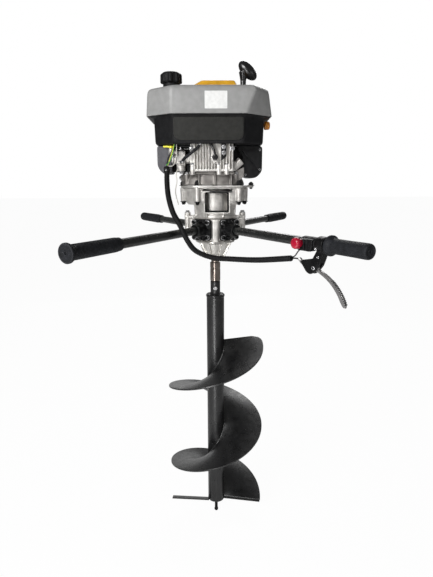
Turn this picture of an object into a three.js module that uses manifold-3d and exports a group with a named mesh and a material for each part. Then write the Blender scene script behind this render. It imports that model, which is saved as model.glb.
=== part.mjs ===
// Petrol auger: a large drilling bit under a planetary gearbox, four handlebars and a
// small engine with a vertical crankshaft. Millimetres, +Z up. The origin is the pilot tip,
// on the drilling axis. +X is the operator's right when seen from the front, which faces -Y.
import * as THREE from 'three';
import { mergeVertices } from 'three/addons/utils/BufferGeometryUtils.js';
import Module from 'manifold-3d';

const wasm = await Module();
wasm.setup();

// ---------------------------------------------------------------- driving dimensions
const GAP = 0.3; // clearance between a piece and the neighbour it fits
const RUN = 1.0; // clearance round a turning piece

// drilling bit
const BIT_R = 150;
const FLIGHT_BOTTOM = 50;
const FLIGHT_PITCH = 271;
const FLIGHT_TURNS = 2.075;
const FLIGHT_T = 5;
const FLIGHT_START = THREE.MathUtils.degToRad(-9.8);
const LEFT_BLADE_ANGLE = THREE.MathUtils.degToRad(175);
const BLADE_CHORD = 34;
const BLADE_T = 6;
const BIT_TUBE_R = 27;
const BIT_TUBE_WALL = 3;
const BIT_TUBE_BOTTOM = 55;
const BIT_TUBE_TOP = 774;
const NECK_R = 14.8;
const NECK_TOP = 815;
const SPIGOT_R = 9;
const PIN_R = 4;
const PIN_Z = 795;
const PILOT_R = 5;

// output shaft and gearbox
const COUPLING_R = 15.4;
const COUPLING_TOP = 873;
const SHAFT_R = 12;
const NOSE_BOTTOM = 885;
const HUB_RING_Z = 940;
const GEARBOX_R = 54;
const GEARBOX_TOP = 1005;
const GEAR_MODULE = 1.25;
const SUN_TEETH = 12;
const PLANET_TEETH = 24;
const RING_TEETH = 60;
const GEAR_Z = 984;
const GEAR_H = 16;
const PLANET_COUNT = 3;
const PLANET_ORBIT = (GEAR_MODULE * (SUN_TEETH + PLANET_TEETH)) / 2;
const PLANET_PIN_R = 5;
const SIDE_BOSS_X = 80;

// handlebars
const HANDLE_Z = 976;
const HANDLE_SPREAD = THREE.MathUtils.degToRad(29.35); // each bar's angle from the Y axis
const BAR_R = 11;
const BAR_WALL = 2;
const BAR_START = 80;
const BAR_END = 570;
const BRACKET_FACE = 74;
const BRACKET_W = 60;
const BRACKET_H = 60;
const GRIP_R = 15.8;
const FLANGE_R = 20;

// engine levels
const BELL_SHOULDER = 1053;
const FLANGE_Z = 1091;
const CRANKCASE_Z = 1097;
const SEAM_Z = 1131;
const CYLINDER_Z = 1170;
const COWL_BOTTOM = 1203;
const COVER_BOTTOM = 1275;
const COVER_TOP = 1345;
const BORE_R = 22;
const STROKE = 26;
const PISTON_Y = -56;
const HEAD_BACK = -84;
const HEAD_FRONT = -98;
const CLUTCH_R = 37;
const FLYWHEEL_R = 66;

// what stands on the covers
const FILLER_X = -116;
const FILLER_Y = -35;
const RECOIL_X = 78.6;
const RECOIL_Y = -10;
const KNOB_Y = -30;
const KNOB_Z = 1257;
const PULLEY_R = 34;

// controls on the front right bar, measured along it and down from it
const BUTTON_T = 407;
const BUTTON_FACE = -24;
const LEVER_T = 437;
const LEVER_Z = -52;
const LEVER_PIN_R = 3;

// ---------------------------------------------------------------- materials
const finish = (color, roughness, metalness) =>
  new THREE.MeshStandardMaterial({ color, roughness, metalness });
const paint = finish(0x20211f, 0.45, 0.2);
const blackSteel = finish(0x17181a, 0.4, 0.5);
const castAluminium = finish(0xa9a59d, 0.45, 0.8);
const darkAluminium = finish(0x6f6b65, 0.5, 0.8);
const steel = finish(0xa39c92, 0.3, 1.0);
const chrome = finish(0xc9c9cc, 0.15, 1.0);
const blackPlastic = finish(0x26272a, 0.55, 0.0);
const glossPlastic = finish(0x0d0d0f, 0.2, 0.0);
const greyPlastic = finish(0x9a9a96, 0.5, 0.0);
const orangePlastic = finish(0xd98c14, 0.45, 0.0);
const redPlastic = finish(0xb00a22, 0.35, 0.0);
const yellowPlastic = finish(0xd8d41c, 0.45, 0.0);
const rubber = finish(0x141416, 0.8, 0.0);
const whitePlastic = finish(0xe6e4df, 0.5, 0.0);

// ---------------------------------------------------------------- solid helpers
function signedVolume(p, index) {
  const a = new THREE.Vector3();
  const b = new THREE.Vector3();
  const c = new THREE.Vector3();
  let volume = 0;
  for (let i = 0; i < index.length; i += 3) {
    a.fromArray(p, index[i] * 3);
    b.fromArray(p, index[i + 1] * 3);
    c.fromArray(p, index[i + 2] * 3);
    volume += a.dot(b.cross(c)) / 6;
  }
  return volume;
}

// A closed three.js geometry as a manifold solid, with its faces turned outwards.
function solid(geometry) {
  const bare = geometry.clone();
  bare.deleteAttribute('normal');
  bare.deleteAttribute('uv');
  const merged = mergeVertices(bare, 1e-3);
  const p = merged.attributes.position.array;
  const kept = [];
  const index = merged.index.array;
  for (let i = 0; i < index.length; i += 3) {
    const [a, b, c] = [index[i], index[i + 1], index[i + 2]];
    if (a !== b && b !== c && c !== a) kept.push(a, b, c);
  }
  if (signedVolume(p, kept) < 0) {
    for (let i = 0; i < kept.length; i += 3) [kept[i], kept[i + 1]] = [kept[i + 1], kept[i]];
  }
  const mesh = new wasm.Mesh({
    numProp: 3,
    vertProperties: new Float32Array(p),
    triVerts: new Uint32Array(kept),
  });
  return new wasm.Manifold(mesh);
}

function geometryOf(manifold) {
  const mesh = manifold.getMesh();
  const geometry = new THREE.BufferGeometry();
  geometry.setAttribute('position', new THREE.BufferAttribute(mesh.vertProperties, 3));
  geometry.setIndex(new THREE.BufferAttribute(mesh.triVerts, 1));
  geometry.computeVertexNormals();
  return geometry;
}

const join = (first, ...rest) => rest.reduce((sum, next) => sum.add(next), first);
const cut = (first, ...rest) => rest.reduce((sum, next) => sum.subtract(next), first);

// A box from its lowest to its highest corner.
function block(x0, y0, z0, x1, y1, z1) {
  const geometry = new THREE.BoxGeometry(x1 - x0, y1 - y0, z1 - z0);
  geometry.translate((x0 + x1) / 2, (y0 + y1) / 2, (z0 + z1) / 2);
  return solid(geometry);
}

// A round bar or cone between two points, with its first radius at the first point.
function rod(from, to, r0, r1 = r0, segments = 12) {
  const a = new THREE.Vector3(...from);
  const b = new THREE.Vector3(...to);
  const along = b.clone().sub(a);
  const geometry = new THREE.CylinderGeometry(r1, r0, along.length(), segments);
  const turn = new THREE.Quaternion().setFromUnitVectors(
    new THREE.Vector3(0, 1, 0),
    along.clone().normalize(),
  );
  geometry.applyQuaternion(turn);
  const middle = a.add(b).multiplyScalar(0.5);
  geometry.translate(middle.x, middle.y, middle.z);
  return solid(geometry);
}

// A turned solid about +Z from its [radius, height] outline.
function turned(outline, segments = 20) {
  const points = outline.map(([r, z]) => new THREE.Vector2(r, z));
  const geometry = new THREE.LatheGeometry(points, segments);
  geometry.rotateX(Math.PI / 2);
  return solid(geometry);
}

// A hollow ring about +Z.
function ring(inner, outer, z0, z1, segments = 20) {
  return turned([[inner, z0], [outer, z0], [outer, z1], [inner, z1], [inner, z0]], segments);
}

// A straight prism about +Z from a closed plan.
function prism(plan, z0, z1) {
  const shape = new THREE.Shape(plan.map(([x, y]) => new THREE.Vector2(x, y)));
  const geometry = new THREE.ExtrudeGeometry(shape, { depth: z1 - z0, bevelEnabled: false });
  geometry.translate(0, 0, z0);
  return solid(geometry);
}

// A prism whose flat faces look along Y: its plan is given as [x, z].
function slab(plan, y0, y1) {
  const shape = new THREE.Shape(plan.map(([x, z]) => new THREE.Vector2(x, z)));
  const geometry = new THREE.ExtrudeGeometry(shape, { depth: y1 - y0, bevelEnabled: false });
  geometry.rotateX(Math.PI / 2);
  geometry.translate(0, y1, 0);
  return solid(geometry);
}

// A round cable or hose along a smooth curve through its points.
function hose(points, r, steps, segments = 3) {
  const curve = new THREE.CatmullRomCurve3(points.map((p) => new THREE.Vector3(...p)));
  const shape = new THREE.Shape();
  shape.absarc(0, 0, r, 0, Math.PI * 2);
  const options = { steps, extrudePath: curve, curveSegments: segments, bevelEnabled: false };
  return solid(new THREE.ExtrudeGeometry(shape, options));
}

// A solid skinned over a row of closed plans, each with the same number of points.
function loft(plans) {
  const count = plans[0].points.length;
  const positions = [];
  const index = [];
  for (const { points, z } of plans) for (const [x, y] of points) positions.push(x, y, z);
  for (let k = 0; k + 1 < plans.length; k += 1) {
    for (let i = 0; i < count; i += 1) {
      const a = k * count + i;
      const b = k * count + ((i + 1) % count);
      index.push(a, b, b + count, a, b + count, a + count);
    }
  }
  const top = (plans.length - 1) * count;
  for (let i = 1; i + 1 < count; i += 1) {
    index.push(0, i + 1, i);
    index.push(top, top + i, top + i + 1);
  }
  const geometry = new THREE.BufferGeometry();
  geometry.setAttribute('position', new THREE.Float32BufferAttribute(positions, 3));
  geometry.setIndex(index);
  return solid(geometry);
}

const scaled = (plan, kx, ky, cx = 0, cy = 0) =>
  plan.map(([x, y]) => [cx + (x - cx) * kx, cy + (y - cy) * ky]);

const auger = new THREE.Group();

function part(name, manifold, material, parent = auger) {
  const mesh = new THREE.Mesh(geometryOf(manifold), material);
  mesh.name = name;
  parent.add(mesh);
  return mesh;
}

// ---------------------------------------------------------------- drilling bit
function helix(angleFrom, angleTo, zAt, inner, outer, thickness, stepsPerTurn) {
  const steps = Math.ceil(((angleTo - angleFrom) / (2 * Math.PI)) * stepsPerTurn);
  const positions = [];
  const index = [];
  for (let i = 0; i <= steps; i += 1) {
    const angle = angleFrom + ((angleTo - angleFrom) * i) / steps;
    const z = zAt(angle);
    for (const [r, dz] of [[inner, 0], [outer, 0], [outer, thickness], [inner, thickness]]) {
      positions.push(r * Math.cos(angle), r * Math.sin(angle), z + dz);
    }
  }
  for (let i = 0; i < steps; i += 1) {
    for (let k = 0; k < 4; k += 1) {
      const a = i * 4 + k;
      const b = i * 4 + ((k + 1) % 4);
      index.push(a, b, b + 4, a, b + 4, a + 4);
    }
  }
  const end = steps * 4;
  index.push(0, 2, 1, 0, 3, 2, end, end + 1, end + 2, end, end + 2, end + 3);
  const geometry = new THREE.BufferGeometry();
  geometry.setAttribute('position', new THREE.Float32BufferAttribute(positions, 3));
  geometry.setIndex(index);
  return solid(geometry);
}

function bitTube() {
  const inner = BIT_TUBE_R - BIT_TUBE_WALL;
  const bore = SPIGOT_R + GAP;
  const shell = turned([
    [inner, BIT_TUBE_BOTTOM],
    [BIT_TUBE_R, BIT_TUBE_BOTTOM],
    [BIT_TUBE_R, BIT_TUBE_TOP - 3],
    [BIT_TUBE_R - 3, BIT_TUBE_TOP],
    [NECK_R, BIT_TUBE_TOP],
    [NECK_R, NECK_TOP - GAP],
    [bore, NECK_TOP - GAP],
    [bore, BIT_TUBE_TOP - 12],
    [inner, BIT_TUBE_TOP - 12],
    [inner, BIT_TUBE_BOTTOM],
  ]);
  return cut(shell, rod([0, -40, PIN_Z], [0, 40, PIN_Z], PIN_R + GAP));
}

// A flat cutting blade along a radius: its sharp leading edge lies on the radius itself, and
// it slopes up towards its trailing edge a little less steeply than the flight above it.
function cutterBlade() {
  const slope = (0.95 * FLIGHT_PITCH) / (2 * Math.PI * BIT_R);
  const rise = BLADE_CHORD * slope;
  const bevel = BLADE_T * 1.6;
  const outline = [
    [0, 0],
    [BLADE_CHORD, rise],
    [BLADE_CHORD, rise + BLADE_T],
    [bevel, BLADE_T + bevel * slope],
  ];
  const shape = new THREE.Shape(outline.map(([x, y]) => new THREE.Vector2(x, y)));
  const inner = BIT_TUBE_R + 1.2;
  const outer = Math.sqrt(BIT_R ** 2 - BLADE_CHORD ** 2);
  const geometry = new THREE.ExtrudeGeometry(shape, { depth: outer - inner, bevelEnabled: false });
  // the chord turns to +Y and the length to +X
  const turn = new THREE.Matrix4().set(0, 0, 1, inner, 1, 0, 0, 0, 0, 1, 0, 0, 0, 0, 0, 1);
  return solid(geometry.applyMatrix4(turn));
}

const flightAt = (angle) =>
  FLIGHT_BOTTOM + BLADE_T + GAP + ((angle - FLIGHT_START) / (2 * Math.PI)) * FLIGHT_PITCH;

part('bit_tube', bitTube(), paint);
part(
  'bit_flight',
  helix(
    FLIGHT_START,
    FLIGHT_START + FLIGHT_TURNS * 2 * Math.PI,
    flightAt,
    BIT_TUBE_R + GAP,
    BIT_R,
    FLIGHT_T,
    30,
  ),
  paint,
);
const rightBlade = part('cutter_blade_right', cutterBlade(), paint);
rightBlade.rotation.z = FLIGHT_START;
rightBlade.position.z = FLIGHT_BOTTOM;
const leftBlade = part('cutter_blade_left', cutterBlade(), paint);
leftBlade.rotation.z = LEFT_BLADE_ANGLE;
leftBlade.position.z = FLIGHT_BOTTOM;
part(
  'pilot_point',
  turned([
    [0, 0],
    [2.5, 0],
    [PILOT_R + 1.5, 7],
    [PILOT_R, 13],
    [PILOT_R, BIT_TUBE_BOTTOM - 1],
    [BIT_TUBE_R - BIT_TUBE_WALL - GAP, BIT_TUBE_BOTTOM + 3],
    [BIT_TUBE_R - BIT_TUBE_WALL - GAP, BIT_TUBE_BOTTOM + 20],
    [0, BIT_TUBE_BOTTOM + 20],
  ]),
  blackSteel,
);
part(
  'drive_pin',
  join(
    rod([0, -19, PIN_Z], [0, 20, PIN_Z], PIN_R),
    rod([0, -22, PIN_Z], [0, -16.5, PIN_Z], PIN_R + 2.5, PIN_R + 2.5, 6),
  ),
  chrome,
);

// ---------------------------------------------------------------- planetary gearbox
// A gear outline with straight-sided pointed teeth, one tooth centred on +X. Teeth point out for a
// positive addendum and inwards for a ring gear.
function gearPlan(teeth, sign) {
  const pitchR = (GEAR_MODULE * teeth) / 2;
  const tip = pitchR + sign * GEAR_MODULE * 0.8;
  const root = pitchR - sign * GEAR_MODULE * 1.15;
  const pitchAngle = (2 * Math.PI) / teeth;
  const plan = [];
  for (let i = 0; i < teeth; i += 1) {
    const centre = i * pitchAngle;
    for (const [r, share] of [[root, -0.3], [tip, 0], [root, 0.3]]) {
      const angle = centre + share * pitchAngle;
      plan.push([r * Math.cos(angle), r * Math.sin(angle)]);
    }
  }
  return plan;
}

function gearHub() {
  const outer = (GEAR_MODULE * RING_TEETH) / 2 + 4.5;
  return cut(
    rod([0, 0, GEAR_Z - 2], [0, 0, GEAR_Z + GEAR_H + 1], outer, outer, 30),
    prism(gearPlan(RING_TEETH, -1), GEAR_Z - 3, GEAR_Z + GEAR_H + 2),
  );
}

part('ring_gear', gearHub(), steel);
for (let i = 0; i < PLANET_COUNT; i += 1) {
  const angle = (i * 2 * Math.PI) / PLANET_COUNT;
  const gear = cut(
    prism(gearPlan(PLANET_TEETH, 1), GEAR_Z, GEAR_Z + GEAR_H),
    rod([0, 0, GEAR_Z - 1], [0, 0, GEAR_Z + GEAR_H + 1], PLANET_PIN_R + GAP),
  );
  const planet = part(`planet_gear_${i + 1}`, gear, steel);
  planet.position.set(PLANET_ORBIT * Math.cos(angle), PLANET_ORBIT * Math.sin(angle), 0);
  planet.rotation.z = angle + Math.PI + Math.PI / PLANET_TEETH;
}

function outputShaft() {
  const carrierR = PLANET_ORBIT + PLANET_PIN_R + 5;
  let shaft = turned([
    [0, 776],
    [SPIGOT_R, 776],
    [SPIGOT_R, NECK_TOP],
    [COUPLING_R - 2, NECK_TOP],
    [COUPLING_R, NECK_TOP + 2],
    [COUPLING_R, COUPLING_TOP - 2],
    [COUPLING_R - 2, COUPLING_TOP],
    [SHAFT_R, COUPLING_TOP],
    [SHAFT_R, GEAR_Z - 14],
    [carrierR, GEAR_Z - 14],
    [carrierR, GEAR_Z - 4],
    [0, GEAR_Z - 4],
  ]);
  for (let i = 0; i < PLANET_COUNT; i += 1) {
    const angle = (i * 2 * Math.PI) / PLANET_COUNT;
    const x = PLANET_ORBIT * Math.cos(angle);
    const y = PLANET_ORBIT * Math.sin(angle);
    shaft = join(shaft, rod([x, y, GEAR_Z - 6], [x, y, GEAR_Z + GEAR_H], PLANET_PIN_R));
  }
  return cut(shaft, rod([0, -30, PIN_Z], [0, 30, PIN_Z], PIN_R + GAP));
}

part('output_shaft', outputShaft(), steel);
part('output_bearing', ring(SHAFT_R + RUN, 21, 912, 926), steel);

// Four pads square to the handlebars, a nose cone with ribs, and a hollow for the gears.
function gearboxHousing() {
  let body = turned([
    [0, NOSE_BOTTOM],
    [26, NOSE_BOTTOM],
    [32, 900],
    [49, HUB_RING_Z - 5],
    [58, HUB_RING_Z - 4],
    [58, HUB_RING_Z + 3],
    [GEARBOX_R, HUB_RING_Z + 4],
    [GEARBOX_R, GEARBOX_TOP - 5],
    [61, GEARBOX_TOP - 4],
    [61, GEARBOX_TOP],
    [0, GEARBOX_TOP],
  ]);
  for (let i = 0; i < 8; i += 1) {
    const angle = ((i + 0.5) * Math.PI) / 4;
    const geometry = new THREE.BoxGeometry(22, 5, HUB_RING_Z - NOSE_BOTTOM - 3);
    geometry.translate(24, 0, (NOSE_BOTTOM + HUB_RING_Z - 3) / 2);
    geometry.rotateZ(angle);
    const taper = turned([[0, NOSE_BOTTOM], [29, NOSE_BOTTOM], [54, HUB_RING_Z], [0, HUB_RING_Z]]);
    body = join(body, solid(geometry).intersect(taper));
  }
  for (const angle of barAngles) {
    const pad = new THREE.BoxGeometry(BRACKET_FACE - GAP, BRACKET_W - 8, BRACKET_H - 4);
    pad.translate((BRACKET_FACE - GAP) / 2, 0, HANDLE_Z);
    pad.rotateZ(angle);
    body = join(body, solid(pad));
  }
  body = join(
    body,
    block(-9, -80, HUB_RING_Z - 8, 9, -40, GEARBOX_TOP),
    block(-9, 40, HUB_RING_Z - 8, 9, 80, GEARBOX_TOP),
  );
  for (const x of [-SIDE_BOSS_X, SIDE_BOSS_X]) {
    body = join(
      body,
      rod([x, -8, 966], [x, -8, 1021], 9),
      block(Math.min(x, x / 2), -16, 968, Math.max(x, x / 2), 0, 1004),
    );
  }
  return cut(
    body,
    turned([
      [0, NOSE_BOTTOM - 1],
      [SHAFT_R + RUN + 2, NOSE_BOTTOM - 1],
      [SHAFT_R + RUN + 2, 911],
      [21 + GAP, 911],
      [21 + GAP, 960],
      [42 + GAP, 966],
      [42 + GAP, GEARBOX_TOP + 1],
      [0, GEARBOX_TOP + 1],
    ], 30),
  );
}

const barAngles = [
  -Math.PI / 2 - HANDLE_SPREAD,
  -Math.PI / 2 + HANDLE_SPREAD,
  Math.PI / 2 + HANDLE_SPREAD,
  Math.PI / 2 - HANDLE_SPREAD,
];
part('gearbox_housing', gearboxHousing(), castAluminium);

// ---------------------------------------------------------------- handlebars
const barNames = ['front_left', 'front_right', 'rear_left', 'rear_right'];
// In a handlebar's own frame the bar runs along +X from the drilling axis, at height zero.
const alongBar = (outline, segments = 16) => {
  const points = outline.map(([r, t]) => new THREE.Vector2(r, t));
  const geometry = new THREE.LatheGeometry(points, segments);
  geometry.rotateZ(-Math.PI / 2);
  return solid(geometry);
};

function bracket() {
  const half = BRACKET_W / 2;
  const plate = block(BRACKET_FACE, -half, -BRACKET_H / 2, BRACKET_FACE + 10, half, BRACKET_H / 2);
  const socketEnd = BRACKET_FACE + 44;
  const socket = alongBar([[0, BRACKET_FACE], [22, BRACKET_FACE], [16, socketEnd], [0, socketEnd]]);
  const webs = [-1, 1].map((side) =>
    block(BRACKET_FACE + 8, -4, Math.min(side * 28, 0), BRACKET_FACE + 26, 4, Math.max(side * 28, 0)),
  );
  const bore = alongBar([
    [0, BAR_START - GAP],
    [BAR_R + GAP, BAR_START - GAP],
    [BAR_R + GAP, BRACKET_FACE + 60],
    [0, BRACKET_FACE + 60],
  ]);
  return cut(join(plate, socket, ...webs), bore);
}

function handleBar() {
  return alongBar([
    [BAR_R - BAR_WALL, BAR_START],
    [BAR_R, BAR_START],
    [BAR_R, BAR_END],
    [BAR_R - BAR_WALL, BAR_END],
    [BAR_R - BAR_WALL, BAR_START],
  ]);
}

// A rubber sleeve with a closed end: its outer outline runs from the inner end outwards.
function grip(outer, end) {
  const bore = BAR_R + GAP;
  const start = [bore, outer[0][1]];
  return alongBar([start, ...outer, [0, end], [0, BAR_END + GAP], [bore, BAR_END + GAP], start]);
}

const frontLeftGrip = () =>
  grip([[13, 424], [15, 428], [GRIP_R, 436], [GRIP_R, 566], [FLANGE_R, 569], [FLANGE_R, 575]], 575);
const frontRightGrip = () =>
  grip([[FLANGE_R, 474], [FLANGE_R, 480], [GRIP_R, 482], [GRIP_R, 576], [14, 579]], 579);
const rearGrip = () =>
  grip([[13, 396], [14.5, 400], [14.5, 428], [GRIP_R, 432], [GRIP_R, 580], [12, 586]], 586);
const gripShapes = [frontLeftGrip, frontRightGrip, rearGrip, rearGrip];

const handles = barNames.map((name, i) => {
  const handle = new THREE.Group();
  handle.position.z = HANDLE_Z;
  handle.rotation.z = barAngles[i];
  auger.add(handle);
  part(`handle_bracket_${name}`, bracket(), blackSteel, handle);
  part(`handle_bar_${name}`, handleBar(), paint, handle);
  part(`grip_${name}`, gripShapes[i](), rubber, handle);
  return handle;
});

// Controls on the front right bar, in that bar's frame; -Y there faces the front left.
const controls = handles[1];
const barHole = (t0, t1) => alongBar([[0, t0], [BAR_R + GAP, t0], [BAR_R + GAP, t1], [0, t1]]);
function switchHousing() {
  const shell = join(
    alongBar([[0, 396], [17, 396], [17, 424], [0, 424]]),
    block(397, BUTTON_FACE, -13, 423, 0, 13),
  );
  return cut(
    shell,
    barHole(390, 430),
    rod([BUTTON_T, BUTTON_FACE - 1, 0], [BUTTON_T, -13, 0], 9 + GAP),
  );
}
part('switch_housing', switchHousing(), blackPlastic, controls);
part(
  'kill_button',
  join(
    rod([BUTTON_T, -18, 0], [BUTTON_T, -30, 0], 9),
    rod([BUTTON_T, -29, 0], [BUTTON_T, -42, 0], 12.5, 11.5),
  ),
  redPlastic,
  controls,
);

function leverClamp() {
  const collar = alongBar([[0, 444], [17, 444], [17, 466], [0, 466]]);
  const arm = slab([[444, -12], [466, -12], [452, -46], [436, -64], [424, -64], [424, -44]], -8, 8);
  const holder = block(392, -9, -62, 430, 9, -40);
  const slot = block(410, -3.6, -80, 480, 3.6, -40);
  const pin = rod([LEVER_T, -8, LEVER_Z], [LEVER_T, 8, LEVER_Z], LEVER_PIN_R);
  return join(cut(join(collar, arm, holder), barHole(440, 470), slot), pin);
}
part('lever_clamp', leverClamp(), blackSteel, controls);

// A curved brake-type lever: a hub on the pin and a blade that hooks down.
function throttleLever() {
  const spine = new THREE.QuadraticBezierCurve(
    new THREE.Vector2(LEVER_T, LEVER_Z - 4),
    new THREE.Vector2(500, -70),
    new THREE.Vector2(526, -122),
  );
  const steps = 12;
  const upper = [];
  const lower = [];
  for (let i = 0; i <= steps; i += 1) {
    const p = spine.getPoint(i / steps);
    const d = spine.getTangent(i / steps);
    const half = 5.5 - 2.2 * (i / steps);
    upper.push([p.x - d.y * half, p.y + d.x * half]);
    lower.unshift([p.x + d.y * half, p.y - d.x * half]);
  }
  const body = join(
    slab([...upper, ...lower], -3, 3),
    rod([LEVER_T, -3, LEVER_Z], [LEVER_T, 3, LEVER_Z], 8),
    rod([418, -3, -50], [418, 3, -50], 4),
    slab([[418, -54], [418, -46], [LEVER_T, -46], [LEVER_T, -58]], -3, 3),
  );
  return cut(body, rod([LEVER_T, -5, LEVER_Z], [LEVER_T, 5, LEVER_Z], LEVER_PIN_R + GAP));
}
part('throttle_lever', throttleLever(), chrome, controls);
part(
  'cable_adjuster',
  rod([379, 0, -45], [390, 0, -48.5], 4.2, 5.2),
  chrome,
  controls,
);

// ---------------------------------------------------------------- bell housing and clutch
const bellBosses = [[-91, 20], [-49, 75], [66, 67], [86, 20]];
const bellPlan = [
  [-95, -26], [-58, -80], [-40, -84], [58, -78], [75, -70], [89, -28],
  [89, 28], [75, 70], [58, 78], [-40, 84], [-58, 80], [-95, 26],
];

function bellHousing() {
  let shell = join(
    turned([
      [0, GEARBOX_TOP + GAP],
      [61, GEARBOX_TOP + GAP],
      [64, BELL_SHOULDER + 1],
      [0, BELL_SHOULDER + 1],
    ]),
    prism(scaled(bellPlan, 0.94, 0.9), BELL_SHOULDER, FLANGE_Z),
  );
  for (const [x, y] of bellBosses) {
    shell = join(
      shell,
      rod([x, -y, BELL_SHOULDER], [x, -y, FLANGE_Z], 8, 8, 10),
      rod([x, y, BELL_SHOULDER], [x, y, FLANGE_Z], 8, 8, 10),
    );
  }
  return cut(
    shell,
    turned([
      [0, GEARBOX_TOP - 1],
      [16 + GAP, GEARBOX_TOP - 1],
      [16 + GAP, 1016],
      [44, 1016],
      [44, FLANGE_Z + 1],
      [0, FLANGE_Z + 1],
    ]),
    block(-28, -120, 1024, 38, 0, 1079),
    block(-34, -120, 1083, 48, 0, 1087),
  );
}
part('bell_housing', bellHousing(), castAluminium);
part('input_bearing', ring(7 + GAP, 16, 1006, 1014), steel);
part(
  'clutch_drum',
  join(
    turned([
      [0, GEAR_Z + 1],
      [5, GEAR_Z + 1],
      [5, 1003],
      [7, 1003],
      [7, 1018],
      [CLUTCH_R, 1020],
      [CLUTCH_R, 1082],
      [CLUTCH_R - 3, 1082],
      [CLUTCH_R - 3, 1023],
      [0, 1023],
    ]),
    prism(gearPlan(SUN_TEETH, 1), GEAR_Z + 1, GEAR_Z + GEAR_H - 1),
  ),
  steel,
);

// ---------------------------------------------------------------- engine
const flangePlan = [
  [-97, -28], [-60, -84], [-40, -88], [60, -82], [78, -74], [92, -30],
  [108, -22], [112, -8], [108, 4], [92, 30], [78, 74], [60, 82], [-40, 88], [-60, 84], [-97, 28],
];
part(
  'engine_flange',
  cut(prism(flangePlan, FLANGE_Z + GAP, CRANKCASE_Z), rod([0, 0, 1080], [0, 0, 1110], 46)),
  castAluminium,
);

function crankcase() {
  const base = [
    [-98, -22], [-76, -64], [-42, -82], [44, -80], [70, -60], [84, -24],
    [84, 30], [64, 70], [-70, 70], [-98, 30],
  ];
  const lower = loft([
    { points: base, z: CRANKCASE_Z + GAP },
    { points: scaled(base, 0.94, 0.97), z: SEAM_Z - 16 },
    { points: scaled(base, 0.76, 0.92), z: SEAM_Z },
  ]);
  const upper = block(-52, -29, SEAM_Z - 5, 50, 66, COWL_BOTTOM + 8);
  const cavity = rod([0, 0, 1106], [0, 0, COWL_BOTTOM + 1], 36);
  const openFront = block(-26, -60, 1133, 26, 0, COWL_BOTTOM);
  const shaftHole = rod([0, 0, 1090], [0, 0, 1220], 12);
  return cut(join(lower, upper), cavity, openFront, shaftHole);
}
part('crankcase', crankcase(), darkAluminium);

// The cylinder lies along Y. Square fins surround its bore.
function cylinderBlock() {
  let body = rod([0, HEAD_BACK + GAP, CYLINDER_Z], [0, -29.5, CYLINDER_Z], 30);
  for (let y = HEAD_BACK + GAP; y < -32; y += 8) {
    body = join(body, block(-56, y, SEAM_Z + 3, 46, y + 3, COWL_BOTTOM + 4));
  }
  body = join(body, block(-64, -56, 1150, -20, -38, 1186));
  return cut(
    body,
    rod([0, -120, CYLINDER_Z], [0, 0, CYLINDER_Z], BORE_R),
    rod([-90, -47, 1168], [-10, -47, 1168], 7),
  );
}
part('cylinder_block', cylinderBlock(), castAluminium);

// The head closes the cylinder's front end, with upright fins round the spark plug's recess.
function cylinderHead() {
  const left = -66;
  const right = 49.4;
  const plateFront = HEAD_FRONT + 6;
  const finFront = HEAD_FRONT - 4;
  let body = block(left, plateFront, SEAM_Z + 3, right, HEAD_BACK - GAP, COWL_BOTTOM + 4);
  for (let x = left; x < right; x += 8) {
    body = join(body, block(x, finFront, SEAM_Z + 9, x + 3.4, plateFront + 1, COWL_BOTTOM + 4));
  }
  for (const x of [left + 6, 8, 30]) {
    const y = HEAD_FRONT + 2;
    body = join(body, rod([x, y, SEAM_Z - 6], [x, y, SEAM_Z + 16], 7));
  }
  body = join(body, block(left, HEAD_FRONT - 2, SEAM_Z + 3, right, plateFront + 1, SEAM_Z + 8));
  return cut(
    body,
    block(-14, finFront - 8, CYLINDER_Z - 12, 14, plateFront, COWL_BOTTOM + 6),
    rod([0, -130, CYLINDER_Z], [0, -80, CYLINDER_Z], 5 + GAP),
  );
}
part('cylinder_head', cylinderHead(), castAluminium);
const PLUG_SEAT = HEAD_FRONT + 6 - GAP;
part(
  'spark_plug',
  join(
    rod([0, HEAD_BACK - 2, CYLINDER_Z], [0, PLUG_SEAT - 1, CYLINDER_Z], 5),
    rod([0, PLUG_SEAT, CYLINDER_Z], [0, PLUG_SEAT - 6, CYLINDER_Z], 9, 9, 6),
    rod([0, PLUG_SEAT - 5, CYLINDER_Z], [0, PLUG_SEAT - 11, CYLINDER_Z], 5),
  ),
  chrome,
);
const BOOT_Y = PLUG_SEAT - 11 - GAP;
part(
  'spark_plug_lead',
  join(
    rod([0, BOOT_Y, CYLINDER_Z], [0, BOOT_Y - 8, CYLINDER_Z], 8),
    hose([[0, BOOT_Y - 4, CYLINDER_Z], [-2, -110, 1184], [-9, -107, 1199], [-14, -107, 1214]], 3.4, 10),
  ),
  rubber,
);
part(
  'piston',
  rod([0, PISTON_Y - STROKE / 2, CYLINDER_Z], [0, PISTON_Y + STROKE / 2, CYLINDER_Z], BORE_R - GAP),
  darkAluminium,
);

const CRANK_THROW = STROKE / 2;
const CRANK_WEB_R = 27;
part(
  'crankshaft',
  join(
    rod([0, 0, 1027], [0, 0, 1112], 8),
    rod([0, 0, 1112], [0, 0, 1124], CRANK_WEB_R),
    rod([0, -CRANK_THROW, 1123], [0, -CRANK_THROW, 1195], 8),
    rod([0, 0, 1194], [0, 0, 1202], CRANK_WEB_R),
    rod([0, 0, 1201], [0, 0, 1247], 8),
  ),
  steel,
);

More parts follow.
